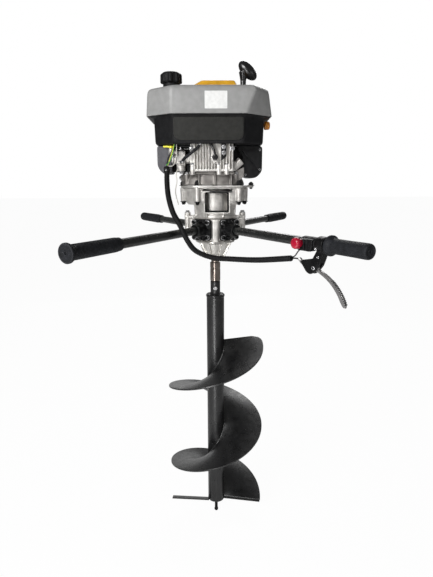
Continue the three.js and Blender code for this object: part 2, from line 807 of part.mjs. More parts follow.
function clutchShoes() {
  let shoes = ring(8 + GAP, 14, 1030, 1068);
  for (let i = 0; i < 2; i += 1) {
    const angle = i * Math.PI;
    const arm = new THREE.BoxGeometry(18, 12, 14);
    arm.translate(20, 0, 1049);
    arm.rotateZ(angle);
    const pad = new THREE.Shape();
    pad.absarc(0, 0, 32, -1.25, 1.25, false);
    pad.absarc(0, 0, 24, 1.25, -1.25, true);
    const options = { depth: 34, bevelEnabled: false, curveSegments: 5 };
    const padGeometry = new THREE.ExtrudeGeometry(pad, options);
    padGeometry.translate(0, 0, 1032);
    padGeometry.rotateZ(angle);
    shoes = join(shoes, solid(arm), solid(padGeometry));
  }
  return shoes;
}
part('clutch_shoes', clutchShoes(), darkAluminium);

function flywheel() {
  let wheel = ring(8 + GAP, FLYWHEEL_R, 1220, 1230);
  for (let i = 0; i < 12; i += 1) {
    const fan = new THREE.BoxGeometry(20, 2.5, 13);
    fan.translate(FLYWHEEL_R - 13, 0, 1235);
    fan.rotateZ((i * Math.PI) / 6);
    wheel = join(wheel, solid(fan));
  }
  return wheel;
}
part('flywheel', flywheel(), darkAluminium);
part(
  'starter_pulley',
  turned([
    [0, 1252],
    [PULLEY_R + 6, 1252],
    [PULLEY_R + 6, 1256],
    [PULLEY_R, 1258],
    [PULLEY_R, 1264],
    [PULLEY_R + 6, 1266],
    [PULLEY_R + 6, 1270],
    [0, 1270],
  ]),
  blackPlastic,
);

// ---------------------------------------------------------------- intake side
const INTAKE_Y = -47;
const INTAKE_Z = 1168;
const INTAKE_R = 7;
const UNDER_COWL = COWL_BOTTOM - 1;

function airFilterHousing() {
  const plan = (inset) => [
    [-157 + inset, UNDER_COWL - inset],
    [-157 + inset, 1158 + inset * 0.4],
    [-145 + inset * 0.6, 1140 + inset * 0.8],
    [-131 + inset * 0.2, 1129 + inset],
    [-118 - inset, 1129 + inset],
    [-118 - inset, UNDER_COWL - inset],
  ];
  return cut(
    slab(plan(0), -62, 44),
    slab(plan(3), -59, 41),
    rod([-130, INTAKE_Y, INTAKE_Z], [-100, INTAKE_Y, INTAKE_Z], INTAKE_R),
  );
}
part('air_filter_housing', airFilterHousing(), blackPlastic);

// The carburettor's body carries the fuel valve on an ear at its front left.
function carburettor() {
  return cut(
    join(
      block(-106, -66, 1148, -80, -30, 1190),
      rod([-117.5, INTAKE_Y, INTAKE_Z], [-64.5, INTAKE_Y, INTAKE_Z], 13),
      rod([-93, -58, 1134], [-93, -58, 1150], 12),
      rod([-117, -82, 1178], [-117, -82, 1193.5], 7),
      block(-117, -84, 1180, -100, -60, 1188),
    ),
    rod([-130, INTAKE_Y, INTAKE_Z], [-60, INTAKE_Y, INTAKE_Z], INTAKE_R),
  );
}
part('carburettor', carburettor(), castAluminium);
part(
  'throttle_arm',
  join(rod([-93, -52, 1190.5], [-93, -52, 1196], 6), block(-95.5, -80, 1192, -90.5, -50, 1195)),
  chrome,
);
part(
  'fuel_valve_lever',
  join(
    rod([-117, -82, 1194], [-117, -82, 1200.5], 5.5),
    block(-138, -85.5, 1196.5, -116, -78.5, 1200.5),
  ),
  yellowPlastic,
);
part(
  'fuel_hose',
  hose(
    [[-93, -71, 1158], [-80, -99, 1168], [-62, -108.2, 1181], [-44, -107.5, 1196], [-36, -107, 1212]],
    3.8,
    14,
  ),
  rubber,
);

// ---------------------------------------------------------------- exhaust side
part(
  'exhaust_elbow',
  join(
    rod([55, -60, 1155], [68, -60, 1168], 10),
    block(46.8, -72, 1142, 58, -48, 1162),
  ),
  castAluminium,
);
const mufflerPlan = (inset) => [
  [62 + inset, UNDER_COWL - inset],
  [62 + inset, 1190 + inset * 0.4],
  [77 + inset, 1176 + inset * 0.4],
  [77 + inset, 1124 + inset * 0.5],
  [92, 1117 + inset],
  [112, 1118 + inset],
  [124 - inset * 0.7, 1126 + inset * 0.7],
  [130 - inset, 1142],
  [130 - inset, UNDER_COWL - inset],
];
part(
  'muffler',
  cut(
    slab(mufflerPlan(0), -46, 44),
    slab(mufflerPlan(2), -44, 42),
    rod([112, 30, 1130], [112, 60, 1130], 7),
  ),
  blackSteel,
);

function mufflerGuard() {
  let guard = slab(mufflerPlan(0), -56, -46 - GAP);
  for (let i = 0; i < 5; i += 1) {
    const slot = new THREE.BoxGeometry(40, 6, 3.5);
    slot.rotateY(-0.9);
    slot.translate(86 + i * 7, -56, 1172 - i * 7);
    guard = cut(guard, solid(slot));
  }
  return guard;
}
part('muffler_guard', mufflerGuard(), blackSteel);

// ---------------------------------------------------------------- covers
const coverPlan = [
  [-113, -130], [80, -130], [152, -70], [152, 82], [92, 130], [-122, 130], [-181, 82], [-181, -76],
];
const coverTopPlan = [
  [-112, -127], [103, -127], [143, -72], [143, 80], [92, 127], [-120, 127], [-177, 80], [-177, -74],
];
const cowlPlan = [
  [-109, -121], [76, -121], [132, -64], [132, 76], [86, 121], [-117, 121], [-162, 76], [-162, -70],
];
const CX = -14;

function shell(plans, wall) {
  const outer = loft(plans);
  const kx = 1 - (2 * wall) / 333;
  const ky = 1 - (2 * wall) / 260;
  const inner = loft(plans.map(({ points, z }, i) => ({
    points: scaled(points, kx, ky, CX, 0),
    z: z + (i === 0 ? -1 : 0) - (i === plans.length - 1 ? wall : 0),
  })));
  return cut(outer, inner);
}

function topCover() {
  const cover = shell([
    { points: scaled(coverPlan, 1, 1, CX), z: COVER_BOTTOM },
    { points: coverTopPlan, z: COVER_TOP - 14 },
    { points: scaled(coverTopPlan, 0.955, 0.955, CX), z: COVER_TOP - 2 },
    { points: scaled(coverTopPlan, 0.885, 0.885, CX), z: COVER_TOP },
  ], 3);
  return cut(
    cover,
    rod([FILLER_X, FILLER_Y, 1330], [FILLER_X, FILLER_Y, 1350], 17 + GAP * 2),
    rod([RECOIL_X, RECOIL_Y, 1330], [RECOIL_X, RECOIL_Y, 1350], 9 + GAP * 2),
  );
}

function lowerCowl() {
  const flare = COVER_BOTTOM - 6;
  const outer = loft([
    { points: scaled(cowlPlan, 0.965, 0.965, CX), z: COWL_BOTTOM },
    { points: scaled(cowlPlan, 0.99, 0.99, CX), z: COWL_BOTTOM + 8 },
    { points: cowlPlan, z: flare },
    { points: scaled(coverPlan, 0.98, 0.975, CX), z: COVER_BOTTOM - GAP },
  ]);
  const inner = loft([
    { points: scaled(cowlPlan, 0.96, 0.955, CX), z: COWL_BOTTOM + 10 },
    { points: scaled(cowlPlan, 0.973, 0.967, CX), z: flare + 2 },
    { points: scaled(coverPlan, 0.955, 0.945, CX), z: COVER_BOTTOM + 1 },
  ]);
  return cut(
    outer,
    inner,
    block(-70, -112, COWL_BOTTOM - 1, 54, 72, COWL_BOTTOM + 11),
    rod([110, KNOB_Y, KNOB_Z], [160, KNOB_Y, KNOB_Z], 6),
  );
}

part('top_cover', topCover(), greyPlastic);
part('lower_cowl', lowerCowl(), blackPlastic);
part(
  'cover_insert',
  loft([
    { points: [[-70, -70], [64, -70], [64, 64], [-70, 64]], z: COVER_TOP + GAP },
    { points: [[-38, -58], [54, -58], [54, 52], [-38, 52]], z: COVER_TOP + 22 },
  ]),
  orangePlastic,
);
part(
  'choke_knob',
  join(
    rod([118, KNOB_Y, KNOB_Z], [137, KNOB_Y, KNOB_Z], 5),
    rod([136, KNOB_Y, KNOB_Z], [152, KNOB_Y, KNOB_Z], 11, 10.5),
  ),
  orangePlastic,
);

// ---------------------------------------------------------------- fuel and starting
const NECK_OUTER = 17;
const TANK_BOTTOM = 1273;
const TANK_TOP = 1322;

function fuelTank() {
  const plan = [[-160, -60], [-112, -98], [-84, -98], [-84, 98], [-112, 98], [-160, 60]];
  const neckTop = COVER_TOP + 24;
  return cut(
    join(
      prism(plan, TANK_BOTTOM, TANK_TOP),
      rod([FILLER_X, FILLER_Y, TANK_TOP - 2], [FILLER_X, FILLER_Y, neckTop], NECK_OUTER),
    ),
    prism(scaled(plan, 0.94, 0.97, -122), TANK_BOTTOM + 3, TANK_TOP - 3),
    rod([FILLER_X, FILLER_Y, TANK_TOP - 10], [FILLER_X, FILLER_Y, neckTop + 1], NECK_OUTER - 3),
  );
}
part('fuel_tank', fuelTank(), whitePlastic);

// A screw cap with eight finger lobes over a plain skirt.
function fuelCap() {
  const lobes = new THREE.Shape();
  const points = 32;
  for (let i = 0; i <= points; i += 1) {
    const angle = (i / points) * 2 * Math.PI;
    const r = 27 + 1.8 * Math.cos(8 * angle);
    if (i === 0) lobes.moveTo(r, 0);
    else if (i < points) lobes.lineTo(r * Math.cos(angle), r * Math.sin(angle));
  }
  const grip = new THREE.ExtrudeGeometry(lobes, { depth: 24, bevelEnabled: false });
  grip.translate(0, 0, COVER_TOP + 18);
  const skirt = rod([0, 0, COVER_TOP + 4], [0, 0, COVER_TOP + 19], 22);
  const crown = rod([0, 0, COVER_TOP + 41], [0, 0, COVER_TOP + 45], 26, 23);
  const hollow = rod([0, 0, COVER_TOP], [0, 0, COVER_TOP + 26], NECK_OUTER + GAP * 2);
  return cut(join(solid(grip), skirt, crown), hollow);
}
const cap = part('fuel_cap', fuelCap(), blackPlastic);
cap.position.set(FILLER_X, FILLER_Y, 0);

// A starter grip leaning over its stem.
function recoilHandle() {
  const egg = new THREE.SphereGeometry(1, 14, 10);
  egg.scale(31, 16, 17);
  egg.rotateY(THREE.MathUtils.degToRad(44));
  egg.translate(RECOIL_X + 12, RECOIL_Y, COVER_TOP + 56.2);
  return join(
    solid(egg),
    rod([RECOIL_X, RECOIL_Y, COVER_TOP - 8], [RECOIL_X, RECOIL_Y, COVER_TOP + 4], 9),
    rod([RECOIL_X, RECOIL_Y, COVER_TOP + 3], [RECOIL_X, RECOIL_Y, COVER_TOP + 62], 8.6),
  );
}
part('recoil_handle', recoilHandle(), glossPlastic);

// ---------------------------------------------------------------- control cable and wire
// A split conduit hangs from the carburettor, passes in front of the left bar and the nose,
// and ends under the right bar, where the throttle cable and the switch wire leave it.
const barPoint = (t, below) => [
  t * Math.sin(HANDLE_SPREAD),
  -t * Math.cos(HANDLE_SPREAD),
  HANDLE_Z + below,
];
const conduitPath = [
  [-129, -84, 1143], [-129, -99, 1112], [-124, -126, 1071], [-110, -165, 1031], [-92, -193, 1003],
  [-72, -199, 962], [-51, -190, 934], [-10, -184, 916], [36, -198, 914], [103, -240, 918],
  barPoint(354, -43),
];
part(
  'control_harness',
  join(
    hose(conduitPath, 7.3, 30, 4),
    hose([barPoint(352, -43), barPoint(366, -41), barPoint(378.5, -45)], 2, 4),
    hose([barPoint(352, -42), barPoint(372, -36), barPoint(398, -19)], 1.6, 5),
  ),
  rubber,
);

export default auger;
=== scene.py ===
"""Petrol ice auger: the visible model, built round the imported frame, with a plain studio."""

import math
import random

import bmesh
import bpy
from mathutils import Matrix, Vector


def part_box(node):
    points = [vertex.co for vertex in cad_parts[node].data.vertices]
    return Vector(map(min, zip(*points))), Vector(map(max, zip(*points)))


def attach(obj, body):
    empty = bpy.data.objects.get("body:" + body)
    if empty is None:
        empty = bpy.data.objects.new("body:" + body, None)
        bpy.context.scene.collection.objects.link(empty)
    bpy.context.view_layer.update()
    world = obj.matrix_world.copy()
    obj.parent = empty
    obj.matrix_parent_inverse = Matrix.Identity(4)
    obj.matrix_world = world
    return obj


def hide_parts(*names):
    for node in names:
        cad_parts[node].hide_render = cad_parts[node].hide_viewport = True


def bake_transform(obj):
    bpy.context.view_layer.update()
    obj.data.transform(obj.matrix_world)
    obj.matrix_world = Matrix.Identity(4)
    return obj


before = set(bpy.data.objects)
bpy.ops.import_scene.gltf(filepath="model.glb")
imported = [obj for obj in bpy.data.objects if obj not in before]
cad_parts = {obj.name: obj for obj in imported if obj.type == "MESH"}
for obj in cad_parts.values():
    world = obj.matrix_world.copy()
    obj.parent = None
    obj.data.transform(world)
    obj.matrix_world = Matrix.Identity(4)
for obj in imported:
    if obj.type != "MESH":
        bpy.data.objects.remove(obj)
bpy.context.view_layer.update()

MM = 0.001               # every shape below is drawn in millimetres
FRAME_BODY = "engine_frame"
SEED = 7
UP, DOWN, FRONT, BACK = (0, 0, 1), (0, 0, -1), (0, -1, 0), (0, 1, 0)


# ------ frame sizes, in mm
def box_mm(node):
    low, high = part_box(node)
    return low / MM, high / MM


# ------ outline helpers
def rounded(plan, radius, steps=4):
    """The closed outline with each corner replaced by a smooth turn of about that radius."""
    points = []
    count = len(plan)
    for i in range(count):
        here = Vector(plan[i])
        back = Vector(plan[i - 1]) - here
        ahead = Vector(plan[(i + 1) % count]) - here
        cut = min(radius, back.length * 0.45, ahead.length * 0.45)
        start = here + back.normalized() * cut
        end = here + ahead.normalized() * cut
        for k in range(steps + 1):
            t = k / steps
            p = start * (1 - t) ** 2 + here * 2 * t * (1 - t) + end * t ** 2
            points.append((p.x, p.y))
    return points


def oblong(x0, y0, x1, y1, radius, steps=4):
    """A rectangle with rounded corners."""
    return rounded([(x0, y0), (x1, y0), (x1, y1), (x0, y1)], radius, steps)


def scaled(plan, kx, ky, cx=0.0):
    """The outline stretched about the line x = cx and the line y = 0."""
    return [(cx + (x - cx) * kx, y * ky) for x, y in plan]


def between(plan_a, plan_b, share):
    """The outline a share of the way from one outline to another."""
    return [(a + (c - a) * share, b + (d - b) * share) for (a, b), (c, d) in zip(plan_a, plan_b)]


def circle(r, count, cx=0.0, cy=0.0, phase=0.0):
    turn = 2 * math.pi / count
    return [(cx + r * math.cos(i * turn + phase), cy + r * math.sin(i * turn + phase)) for i in range(count)]


def lobed(r, z, count, swell):
    """A level ring whose radius at each angle is r plus swell(angle)."""
    angles = [2 * math.pi * k / count for k in range(count)]
    return [((r + swell(a)) * math.cos(a), (r + swell(a)) * math.sin(a), z) for a in angles]


def smooth_path(points, spacing):
    """Evenly spaced points along a Catmull-Rom curve through the given ones."""
    pts = [Vector(p) for p in points]
    pts = [pts[0] * 2 - pts[1]] + pts + [pts[-1] * 2 - pts[-2]]
    dense = []
    for i in range(1, len(pts) - 2):
        a, b, c, d = pts[i - 1:i + 3]
        for k in range(40):
            t = k / 40
            dense.append(0.5 * (2 * b + (c - a) * t + (2 * a - 5 * b + 4 * c - d) * t * t
                                + (3 * b - a - 3 * c + d) * t ** 3))
    dense.append(pts[-2])
    lengths = [0.0]
    for a, b in zip(dense, dense[1:]):
        lengths.append(lengths[-1] + (b - a).length)
    count = max(2, round(lengths[-1] / spacing))
    even = []
    k = 0
    for i in range(count + 1):
        want = lengths[-1] * i / count
        while k < len(dense) - 2 and lengths[k + 1] < want:
            k += 1
        span = max(lengths[k + 1] - lengths[k], 1e-9)
        even.append(dense[k].lerp(dense[k + 1], min(1.0, (want - lengths[k]) / span)))
    return even


# ------ solid helpers (bmesh, mm)
def place(matrix, bm, verts):
    if matrix is not None:
        bmesh.ops.transform(bm, matrix=matrix, verts=verts)


def loft(bm, rings, matrix=None, closed=False):
    """A closed skin over rings of equal length; it joins end to start when closed."""
    rows = [[bm.verts.new(p) for p in ring] for ring in rings]
    count = len(rows[0])
    pairs = list(zip(rows, rows[1:])) + ([(rows[-1], rows[0])] if closed else [])
    for lower, upper in pairs:
        for i in range(count):
            k = (i + 1) % count
            bm.faces.new((lower[i], lower[k], upper[k], upper[i]))
    if not closed:
        bm.faces.new(list(reversed(rows[0])))
        bm.faces.new(rows[-1])
    place(matrix, bm, [v for row in rows for v in row])


def prism(bm, plan, z0, z1, matrix=None):
    loft(bm, [[(x, y, z0) for x, y in plan], [(x, y, z1) for x, y in plan]], matrix)


def slab(bm, plan, y0, y1, matrix=None):
    """A plate whose flat faces look along Y, from an outline given as (x, z)."""
    loft(bm, [[(x, y0, z) for x, z in plan], [(x, y1, z) for x, z in plan]], matrix)


def block(bm, low, high, matrix=None):
    (x0, y0, z0), (x1, y1, z1) = low, high
    prism(bm, [(x0, y0), (x1, y0), (x1, y1), (x0, y1)], z0, z1, matrix)


def turned(bm, outline, segments=48, matrix=None, closed=False):
    """A turned solid about +Z from (radius, height) points; radius 0 ends close on the axis."""
    rows = []
    for r, z in outline:
        if r < 1e-6:
            rows.append([bm.verts.new((0, 0, z))])
        else:
            rows.append([bm.verts.new((x, y, z)) for x, y in circle(r, segments)])
    pairs = list(zip(rows, rows[1:])) + ([(rows[-1], rows[0])] if closed else [])
    for lower, upper in pairs:
        for i in range(segments):
            k = (i + 1) % segments
            if len(lower) == 1 and len(upper) == 1:
                continue
            if len(lower) == 1:
                bm.faces.new((lower[0], upper[k], upper[i]))
            elif len(upper) == 1:
                bm.faces.new((lower[i], lower[k], upper[0]))
            else:
                bm.faces.new((lower[i], lower[k], upper[k], upper[i]))
    place(matrix, bm, [v for row in rows for v in row])


def frame_ring(bm, outer, inner, front, back):
    """An upright frame between two outlines given as (x, z)."""
    loft(bm, [[(x, y, z) for x, z in plan] for plan, y in
              ((outer, back), (outer, front), (inner, front), (inner, back))], closed=True)


def towards(origin, direction):
    """The frame whose +Z runs along direction from origin."""
    turn = Vector(UP).rotation_difference(Vector(direction).normalized())
    return Matrix.Translation(Vector(origin)) @ turn.to_matrix().to_4x4()


def rod(bm, a, b, r0, r1=None, segments=32, edge=0.0, matrix=None):
    """A round bar from a to b, with its end edges eased by edge."""
    r1 = r0 if r1 is None else r1
    length = (Vector(b) - Vector(a)).length
    outline = [(0, 0), (r0 - edge, 0), (r0, edge), (r1, length - edge), (r1 - edge, length), (0, length)]
    if edge == 0:
        outline = [(0, 0), (r0, 0), (r1, length), (0, length)]
    frame_here = towards(a, Vector(b) - Vector(a))
    turned(bm, outline, segments, matrix @ frame_here if matrix is not None else frame_here)


def sweep(bm, path, radius, segments=16, flat=1.0):
    """A tube along the path. radius is a number or a function of the point's index."""
    last = len(path) - 1
    tangents = [(path[min(i + 1, last)] - path[max(i - 1, 0)]).normalized() for i in range(last + 1)]
    side = tangents[0].orthogonal().normalized()
    rings = []
    for i, (p, t) in enumerate(zip(path, tangents)):
        side = (side - t * side.dot(t)).normalized()
        up = t.cross(side)
        r = radius(i) if callable(radius) else radius
        rings.append([p + side * (x * r) + up * (y * r * flat) for x, y in circle(1, segments)])
    loft(bm, rings)


def hex_bolt(bm, at, direction, across=10.0, height=6.0, washer=True):
    """A hexagon head with a washer, standing on a face at `at` and facing `direction`."""
    m = towards(at, direction)
    base = 0.0
    if washer:
        ring = [(0, -0.4), (across * 0.82, -0.4), (across * 0.85, 0.4), (across * 0.8, 1.4), (0, 1.4)]
        turned(bm, ring, 28, m)
        base = 1.2
    r = across / math.sqrt(3)
    head = circle(r, 6)
    crown = circle(r * 0.82, 6)
    loft(bm, [[(x, y, base) for x, y in head], [(x, y, base + height * 0.82) for x, y in head],
              [(x, y, base + height) for x, y in crown]], m)


def socket_bolt(bm, at, direction, r=4.5, height=6.0, washer=True):
    """A round cap screw with a hexagon socket, and a plain washer under it."""
    m = towards(at, direction)
    base = 0.0
    if washer:
        ring = [(0, -0.4), (r * 1.75, -0.4), (r * 1.8, 0.3), (r * 1.75, 1.5), (0, 1.5)]
        turned(bm, ring, 32, m)
        base = 1.3
    top = base + height
    socket = top - 3
    turned(bm, [(0, base), (r, base), (r, top - 0.6), (r - 0.6, top), (r * 0.56, top), (r * 0.52, socket),
                (0, socket)], 24, m)


# ------ from shapes to pieces
def settle(obj):
    """Makes the object's modifiers permanent in its mesh."""
    graph = bpy.context.evaluated_depsgraph_get()
    mesh = bpy.data.meshes.new_from_object(obj.evaluated_get(graph))
    obj.modifiers.clear()
    old = obj.data
    obj.data = mesh
    bpy.data.meshes.remove(old)


def new_object(name, bm):
    """A scene object from a bmesh drawn in millimetres."""
    bmesh.ops.recalc_face_normals(bm, faces=bm.faces)
    bmesh.ops.scale(bm, vec=(MM, MM, MM), verts=bm.verts)
    mesh = bpy.data.meshes.new(name)
    bm.to_mesh(mesh)
    bm.free()
    obj = bpy.data.objects.new(name, mesh)
    bpy.context.scene.collection.objects.link(obj)
    return obj


def cast(obj, voxel, smooth):
    """Melts overlapping solids into one skin with soft inside corners, like a casting."""
    mod = obj.modifiers.new("melt", "REMESH")
    mod.mode = "VOXEL"
    mod.voxel_size = voxel * MM
    ease = obj.modifiers.new("ease", "SMOOTH")
    ease.factor = 0.5
    ease.iterations = smooth
    settle(obj)


def carve(obj, cutter_bm, dense):
    """Cuts the cutter's solids out of the object; a dense mesh takes the faster solver."""
    cutter = new_object("cutter", cutter_bm)
    mod = obj.modifiers.new("carve", "BOOLEAN")
    mod.operation = "DIFFERENCE"
    mod.solver = "MANIFOLD" if dense else "EXACT"
    mod.use_self = not dense
    mod.object = cutter
    settle(obj)
    obj.data.validate()     # the exact solver can leave a face twice
    mesh = cutter.data
    bpy.data.objects.remove(cutter)
    bpy.data.meshes.remove(mesh)


def piece(name, draw, material, body=FRAME_BODY, cad=None, melt=None, cutter=None, bevel=None, sharp=38):
    """One visible piece. draw fills a bmesh and cutter one that is cut away; melt is (voxel, smoothing),
    bevel is in mm, sharp is the angle kept as a hard edge, and cad is the CAD node it stands for."""
    bm = bmesh.new()
    draw(bm)
    obj = new_object(name, bm)
    if melt:
        cast(obj, *melt)
    if cutter:
        cut_bm = bmesh.new()
        cutter(cut_bm)
        carve(obj, cut_bm, bool(melt))
        if melt:
            cast(obj, melt[0], max(1, melt[1] - 1))
    obj.data.shade_smooth()
    if bevel:
        mod = obj.modifiers.new("edges", "BEVEL")
        mod.width = bevel * MM
        mod.segments = 3
        mod.limit_method = "ANGLE"
        mod.angle_limit = math.radians(30)
        mod.harden_normals = True
    if not melt:
        obj.data.set_sharp_from_angle(angle=math.radians(sharp))
    obj.data.materials.clear()
    obj.data.materials.append(finishes[material])
    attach(obj, body)
    if cad:
        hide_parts(cad)
    return obj


# ------ finishes
# name: (dark, light, roughness, metallic, grain, relief, spread of the roughness)
FINISHES = {
    "bit_paint": ((0.0045, 0.0045, 0.0048), (0.009, 0.009, 0.0092), 0.30, 0.0, 120, 0.12, 0.05),
    "bar_paint": ((0.004, 0.0046, 0.0045), (0.008, 0.009, 0.0086), 0.30, 0.0, 140, 0.12, 0.06),
    "black_casting": ((0.0025, 0.0025, 0.0028), (0.0055, 0.0055, 0.006), 0.38, 0.0, 200, 0.4, 0.1),
    "cast_aluminium": ((0.40, 0.385, 0.365), (0.66, 0.64, 0.61), 0.38, 0.6, 220, 0.6, 0.1),
    "dark_aluminium": ((0.13, 0.12, 0.112), (0.26, 0.245, 0.23), 0.44, 0.6, 200, 0.5, 0.1),
    "polished_aluminium": ((0.30, 0.285, 0.265), (0.80, 0.78, 0.74), 0.24, 0.92, 160, 0.12, 0.06),
    "steel": ((0.20, 0.165, 0.145), (0.42, 0.36, 0.325), 0.25, 1.0, 160, 0.12, 0.07),
    "brushed_steel": ((0.44, 0.40, 0.35), (0.62, 0.57, 0.51), 0.40, 0.75, 160, 0.15, 0.07),
    "bright_steel": ((0.66, 0.66, 0.67), (0.82, 0.82, 0.83), 0.2, 0.95, 180, 0.08, 0.05),
    "cover_grey": ((0.215, 0.215, 0.212), (0.25, 0.25, 0.247), 0.46, 0.0, 260, 0.1, 0.05),
    "cowl_black": ((0.004, 0.004, 0.0046), (0.009, 0.009, 0.0098), 0.5, 0.0, 320, 0.5, 0.08),
    # the front panel's finish is the cowl's black made lighter: painted light on the front face
    "cowl_panel_painted_light": ((0.011, 0.011, 0.010), (0.018, 0.018, 0.0165), 0.46, 0.0, 320, 0.5, 0.07),
    "filter_plastic": ((0.045, 0.044, 0.052), (0.07, 0.069, 0.08), 0.4, 0.0, 200, 0.3, 0.08),
    "gloss_black": ((0.0025, 0.0025, 0.0028), (0.005, 0.005, 0.0055), 0.27, 0.0, 120, 0.05, 0.06),
    "accent_orange": ((0.50, 0.255, 0.012), (0.66, 0.345, 0.02), 0.42, 0.0, 200, 0.15, 0.06),
    "knob_orange": ((0.36, 0.125, 0.008), (0.48, 0.18, 0.012), 0.42, 0.0, 200, 0.15, 0.06),
    "lever_metal": ((0.36, 0.35, 0.35), (0.62, 0.61, 0.60), 0.3, 0.9, 150, 0.1, 0.06),
    "button_red": ((0.27, 0.001, 0.016), (0.36, 0.002, 0.024), 0.30, 0.0, 160, 0.06, 0.05),
    "lever_yellow": ((0.60, 0.54, 0.015), (0.75, 0.69, 0.03), 0.4, 0.0, 180, 0.1, 0.05),
    "grip_rubber": ((0.008, 0.0086, 0.010), (0.014, 0.015, 0.018), 0.60, 0.0, 380, 0.5, 0.1),
    "conduit_black": ((0.0035, 0.0035, 0.004), (0.007, 0.007, 0.0075), 0.6, 0.0, 260, 0.4, 0.08),
    "tank_plastic": ((0.62, 0.60, 0.55), (0.72, 0.70, 0.65), 0.5, 0.0, 160, 0.2, 0.06),
    "label_paper": ((0.58, 0.58, 0.57), (0.66, 0.66, 0.65), 0.45, 0.0, 500, 0.05, 0.04),
    "wire_green": ((0.05, 0.30, 0.05), (0.08, 0.42, 0.08), 0.4, 0.0, 300, 0.05, 0.04),
}
# name: (colour of the worn edges, how much of it shows)
WORN = {
    "bit_paint": ((0.05, 0.05, 0.048), 0.25), "bar_paint": ((0.08, 0.08, 0.08), 0.2),
    "black_casting": ((0.08, 0.08, 0.08), 0.3), "cast_aluminium": ((0.88, 0.87, 0.84), 0.9),
    "dark_aluminium": ((0.6, 0.58, 0.56), 0.7), "cover_grey": ((0.40, 0.40, 0.40), 0.12),
    "cowl_black": ((0.03, 0.03, 0.03), 0.15), "cowl_panel_painted_light": ((0.10, 0.10, 0.09), 0.3),
    "grip_rubber": ((0.04, 0.04, 0.045), 0.3),
}
# the grain's scale along Z where the grain runs upright; it is 1 elsewhere
STREAKED = {"bar_paint": 0.5, "polished_aluminium": 0.15, "steel": 0.25, "brushed_steel": 0.25,
            "lever_metal": 0.4}
COATED = {"gloss_black": 0.1, "button_red": 0.1}
COAT_ROUGHNESS = 0.12
DULL = ("cowl_black", "cowl_panel_painted_light", "black_casting", "grip_rubber", "conduit_black")
DULL_SHEEN, SHEEN = 0.16, 0.5
BUMP_DEPTH = 0.0006


def feed(tree, socket, value):
    """Gives a shader input its value, which may be another node's output."""
    if isinstance(value, bpy.types.NodeSocket):
        tree.links.new(value, socket)
    else:
        socket.default_value = value


def node(tree, kind, **inputs):
    """A new shader node with its inputs fed; an underscore stands for a space in an input's name."""
    made = tree.nodes.new("ShaderNode" + kind)
    for name, value in inputs.items():
        feed(tree, made.inputs[name.replace("_", " ")], value)
    return made


def times(tree, a, b, clamp=False):
    made = tree.nodes.new("ShaderNodeMath")
    made.operation = "MULTIPLY"
    made.use_clamp = clamp
    feed(tree, made.inputs[0], a)
    feed(tree, made.inputs[1], b)
    return made.outputs["Value"]


def new_finish(name, dark, light, rough, metallic, grain, relief, spread):
    """A procedural surface: mottled colour, uneven roughness, fine relief and worn raised edges."""
    material = bpy.data.materials.new(name)
    material.use_nodes = True
    tree = material.node_tree
    here = node(tree, "TexCoord").outputs["Object"]
    streak = STREAKED.get(name, 1.0)
    stretched = node(tree, "Mapping", Vector=here, Scale=(1.0, 1.0, streak)).outputs["Vector"]

    def noise(scale, detail):
        return node(tree, "TexNoise", Vector=stretched, Scale=scale, Detail=detail).outputs["Fac"]

    mottle = node(tree, "ValToRGB", Fac=noise(grain * 0.25, 5))
    for element, position, tone in zip(mottle.color_ramp.elements, (0.34, 0.68), (dark, light)):
        element.position = position
        element.color = (*tone, 1)
    colour = mottle.outputs["Color"]
    if name in WORN:
        worn_tone, amount = WORN[name]
        raised = node(tree, "NewGeometry").outputs["Pointiness"]
        edge = node(tree, "MapRange", Value=raised, From_Min=0.52, From_Max=0.62).outputs["Result"]
        share = times(tree, times(tree, edge, noise(grain, 3)), amount * 2, True)
        mix = node(tree, "Mix")
        mix.data_type = "RGBA"
        for socket, value in (("Factor", share), ("A", colour), ("B", (*worn_tone, 1))):
            feed(tree, mix.inputs[socket], value)
        colour = mix.outputs["Result"]
    gloss = node(tree, "MapRange", Value=noise(grain * 0.5, 4), From_Min=0.3, From_Max=0.7,
                 To_Min=max(0.03, rough - spread), To_Max=min(1.0, rough + spread))
    bump = node(tree, "Bump", Height=noise(grain * 5, 3), Strength=relief, Distance=BUMP_DEPTH)
    surface = {
        "Base Color": colour, "Roughness": gloss.outputs["Result"], "Normal": bump.outputs["Normal"],
        "Metallic": metallic, "Coat Weight": COATED.get(name, 0.0), "Coat Roughness": COAT_ROUGHNESS,
        "Specular IOR Level": DULL_SHEEN if name in DULL else SHEEN,
    }
    for socket, value in surface.items():
        feed(tree, tree.nodes["Principled BSDF"].inputs[socket], value)
    return material


finishes = {name: new_finish(name, *values) for name, values in FINISHES.items()}

# ------ the bit
FLIGHT_BOTTOM = box_mm("bit_flight")[0].z
BIT_R = 150.0
CORNER_R = 122.0         # radius of the flight's trimmed corner at its top end
FLIGHT_START = math.radians(-9.8)
FLIGHT_PITCH = 271.0
FLIGHT_TURNS = 2.075
FLIGHT_T = 5.0
FIT = 0.3                # clearance between neighbouring pieces
TUBE_R = 27.0
TUBE_BOTTOM = box_mm("bit_tube")[0].z
TUBE_SHOULDER = 774.0
NECK_R = 14.8
NECK_TOP = box_mm("bit_tube")[1].z
PIN_Z = sum(corner.z for corner in box_mm("drive_pin")) / 2


def flight_z(angle):
    return FLIGHT_BOTTOM + (angle - FLIGHT_START) / (2 * math.pi) * FLIGHT_PITCH


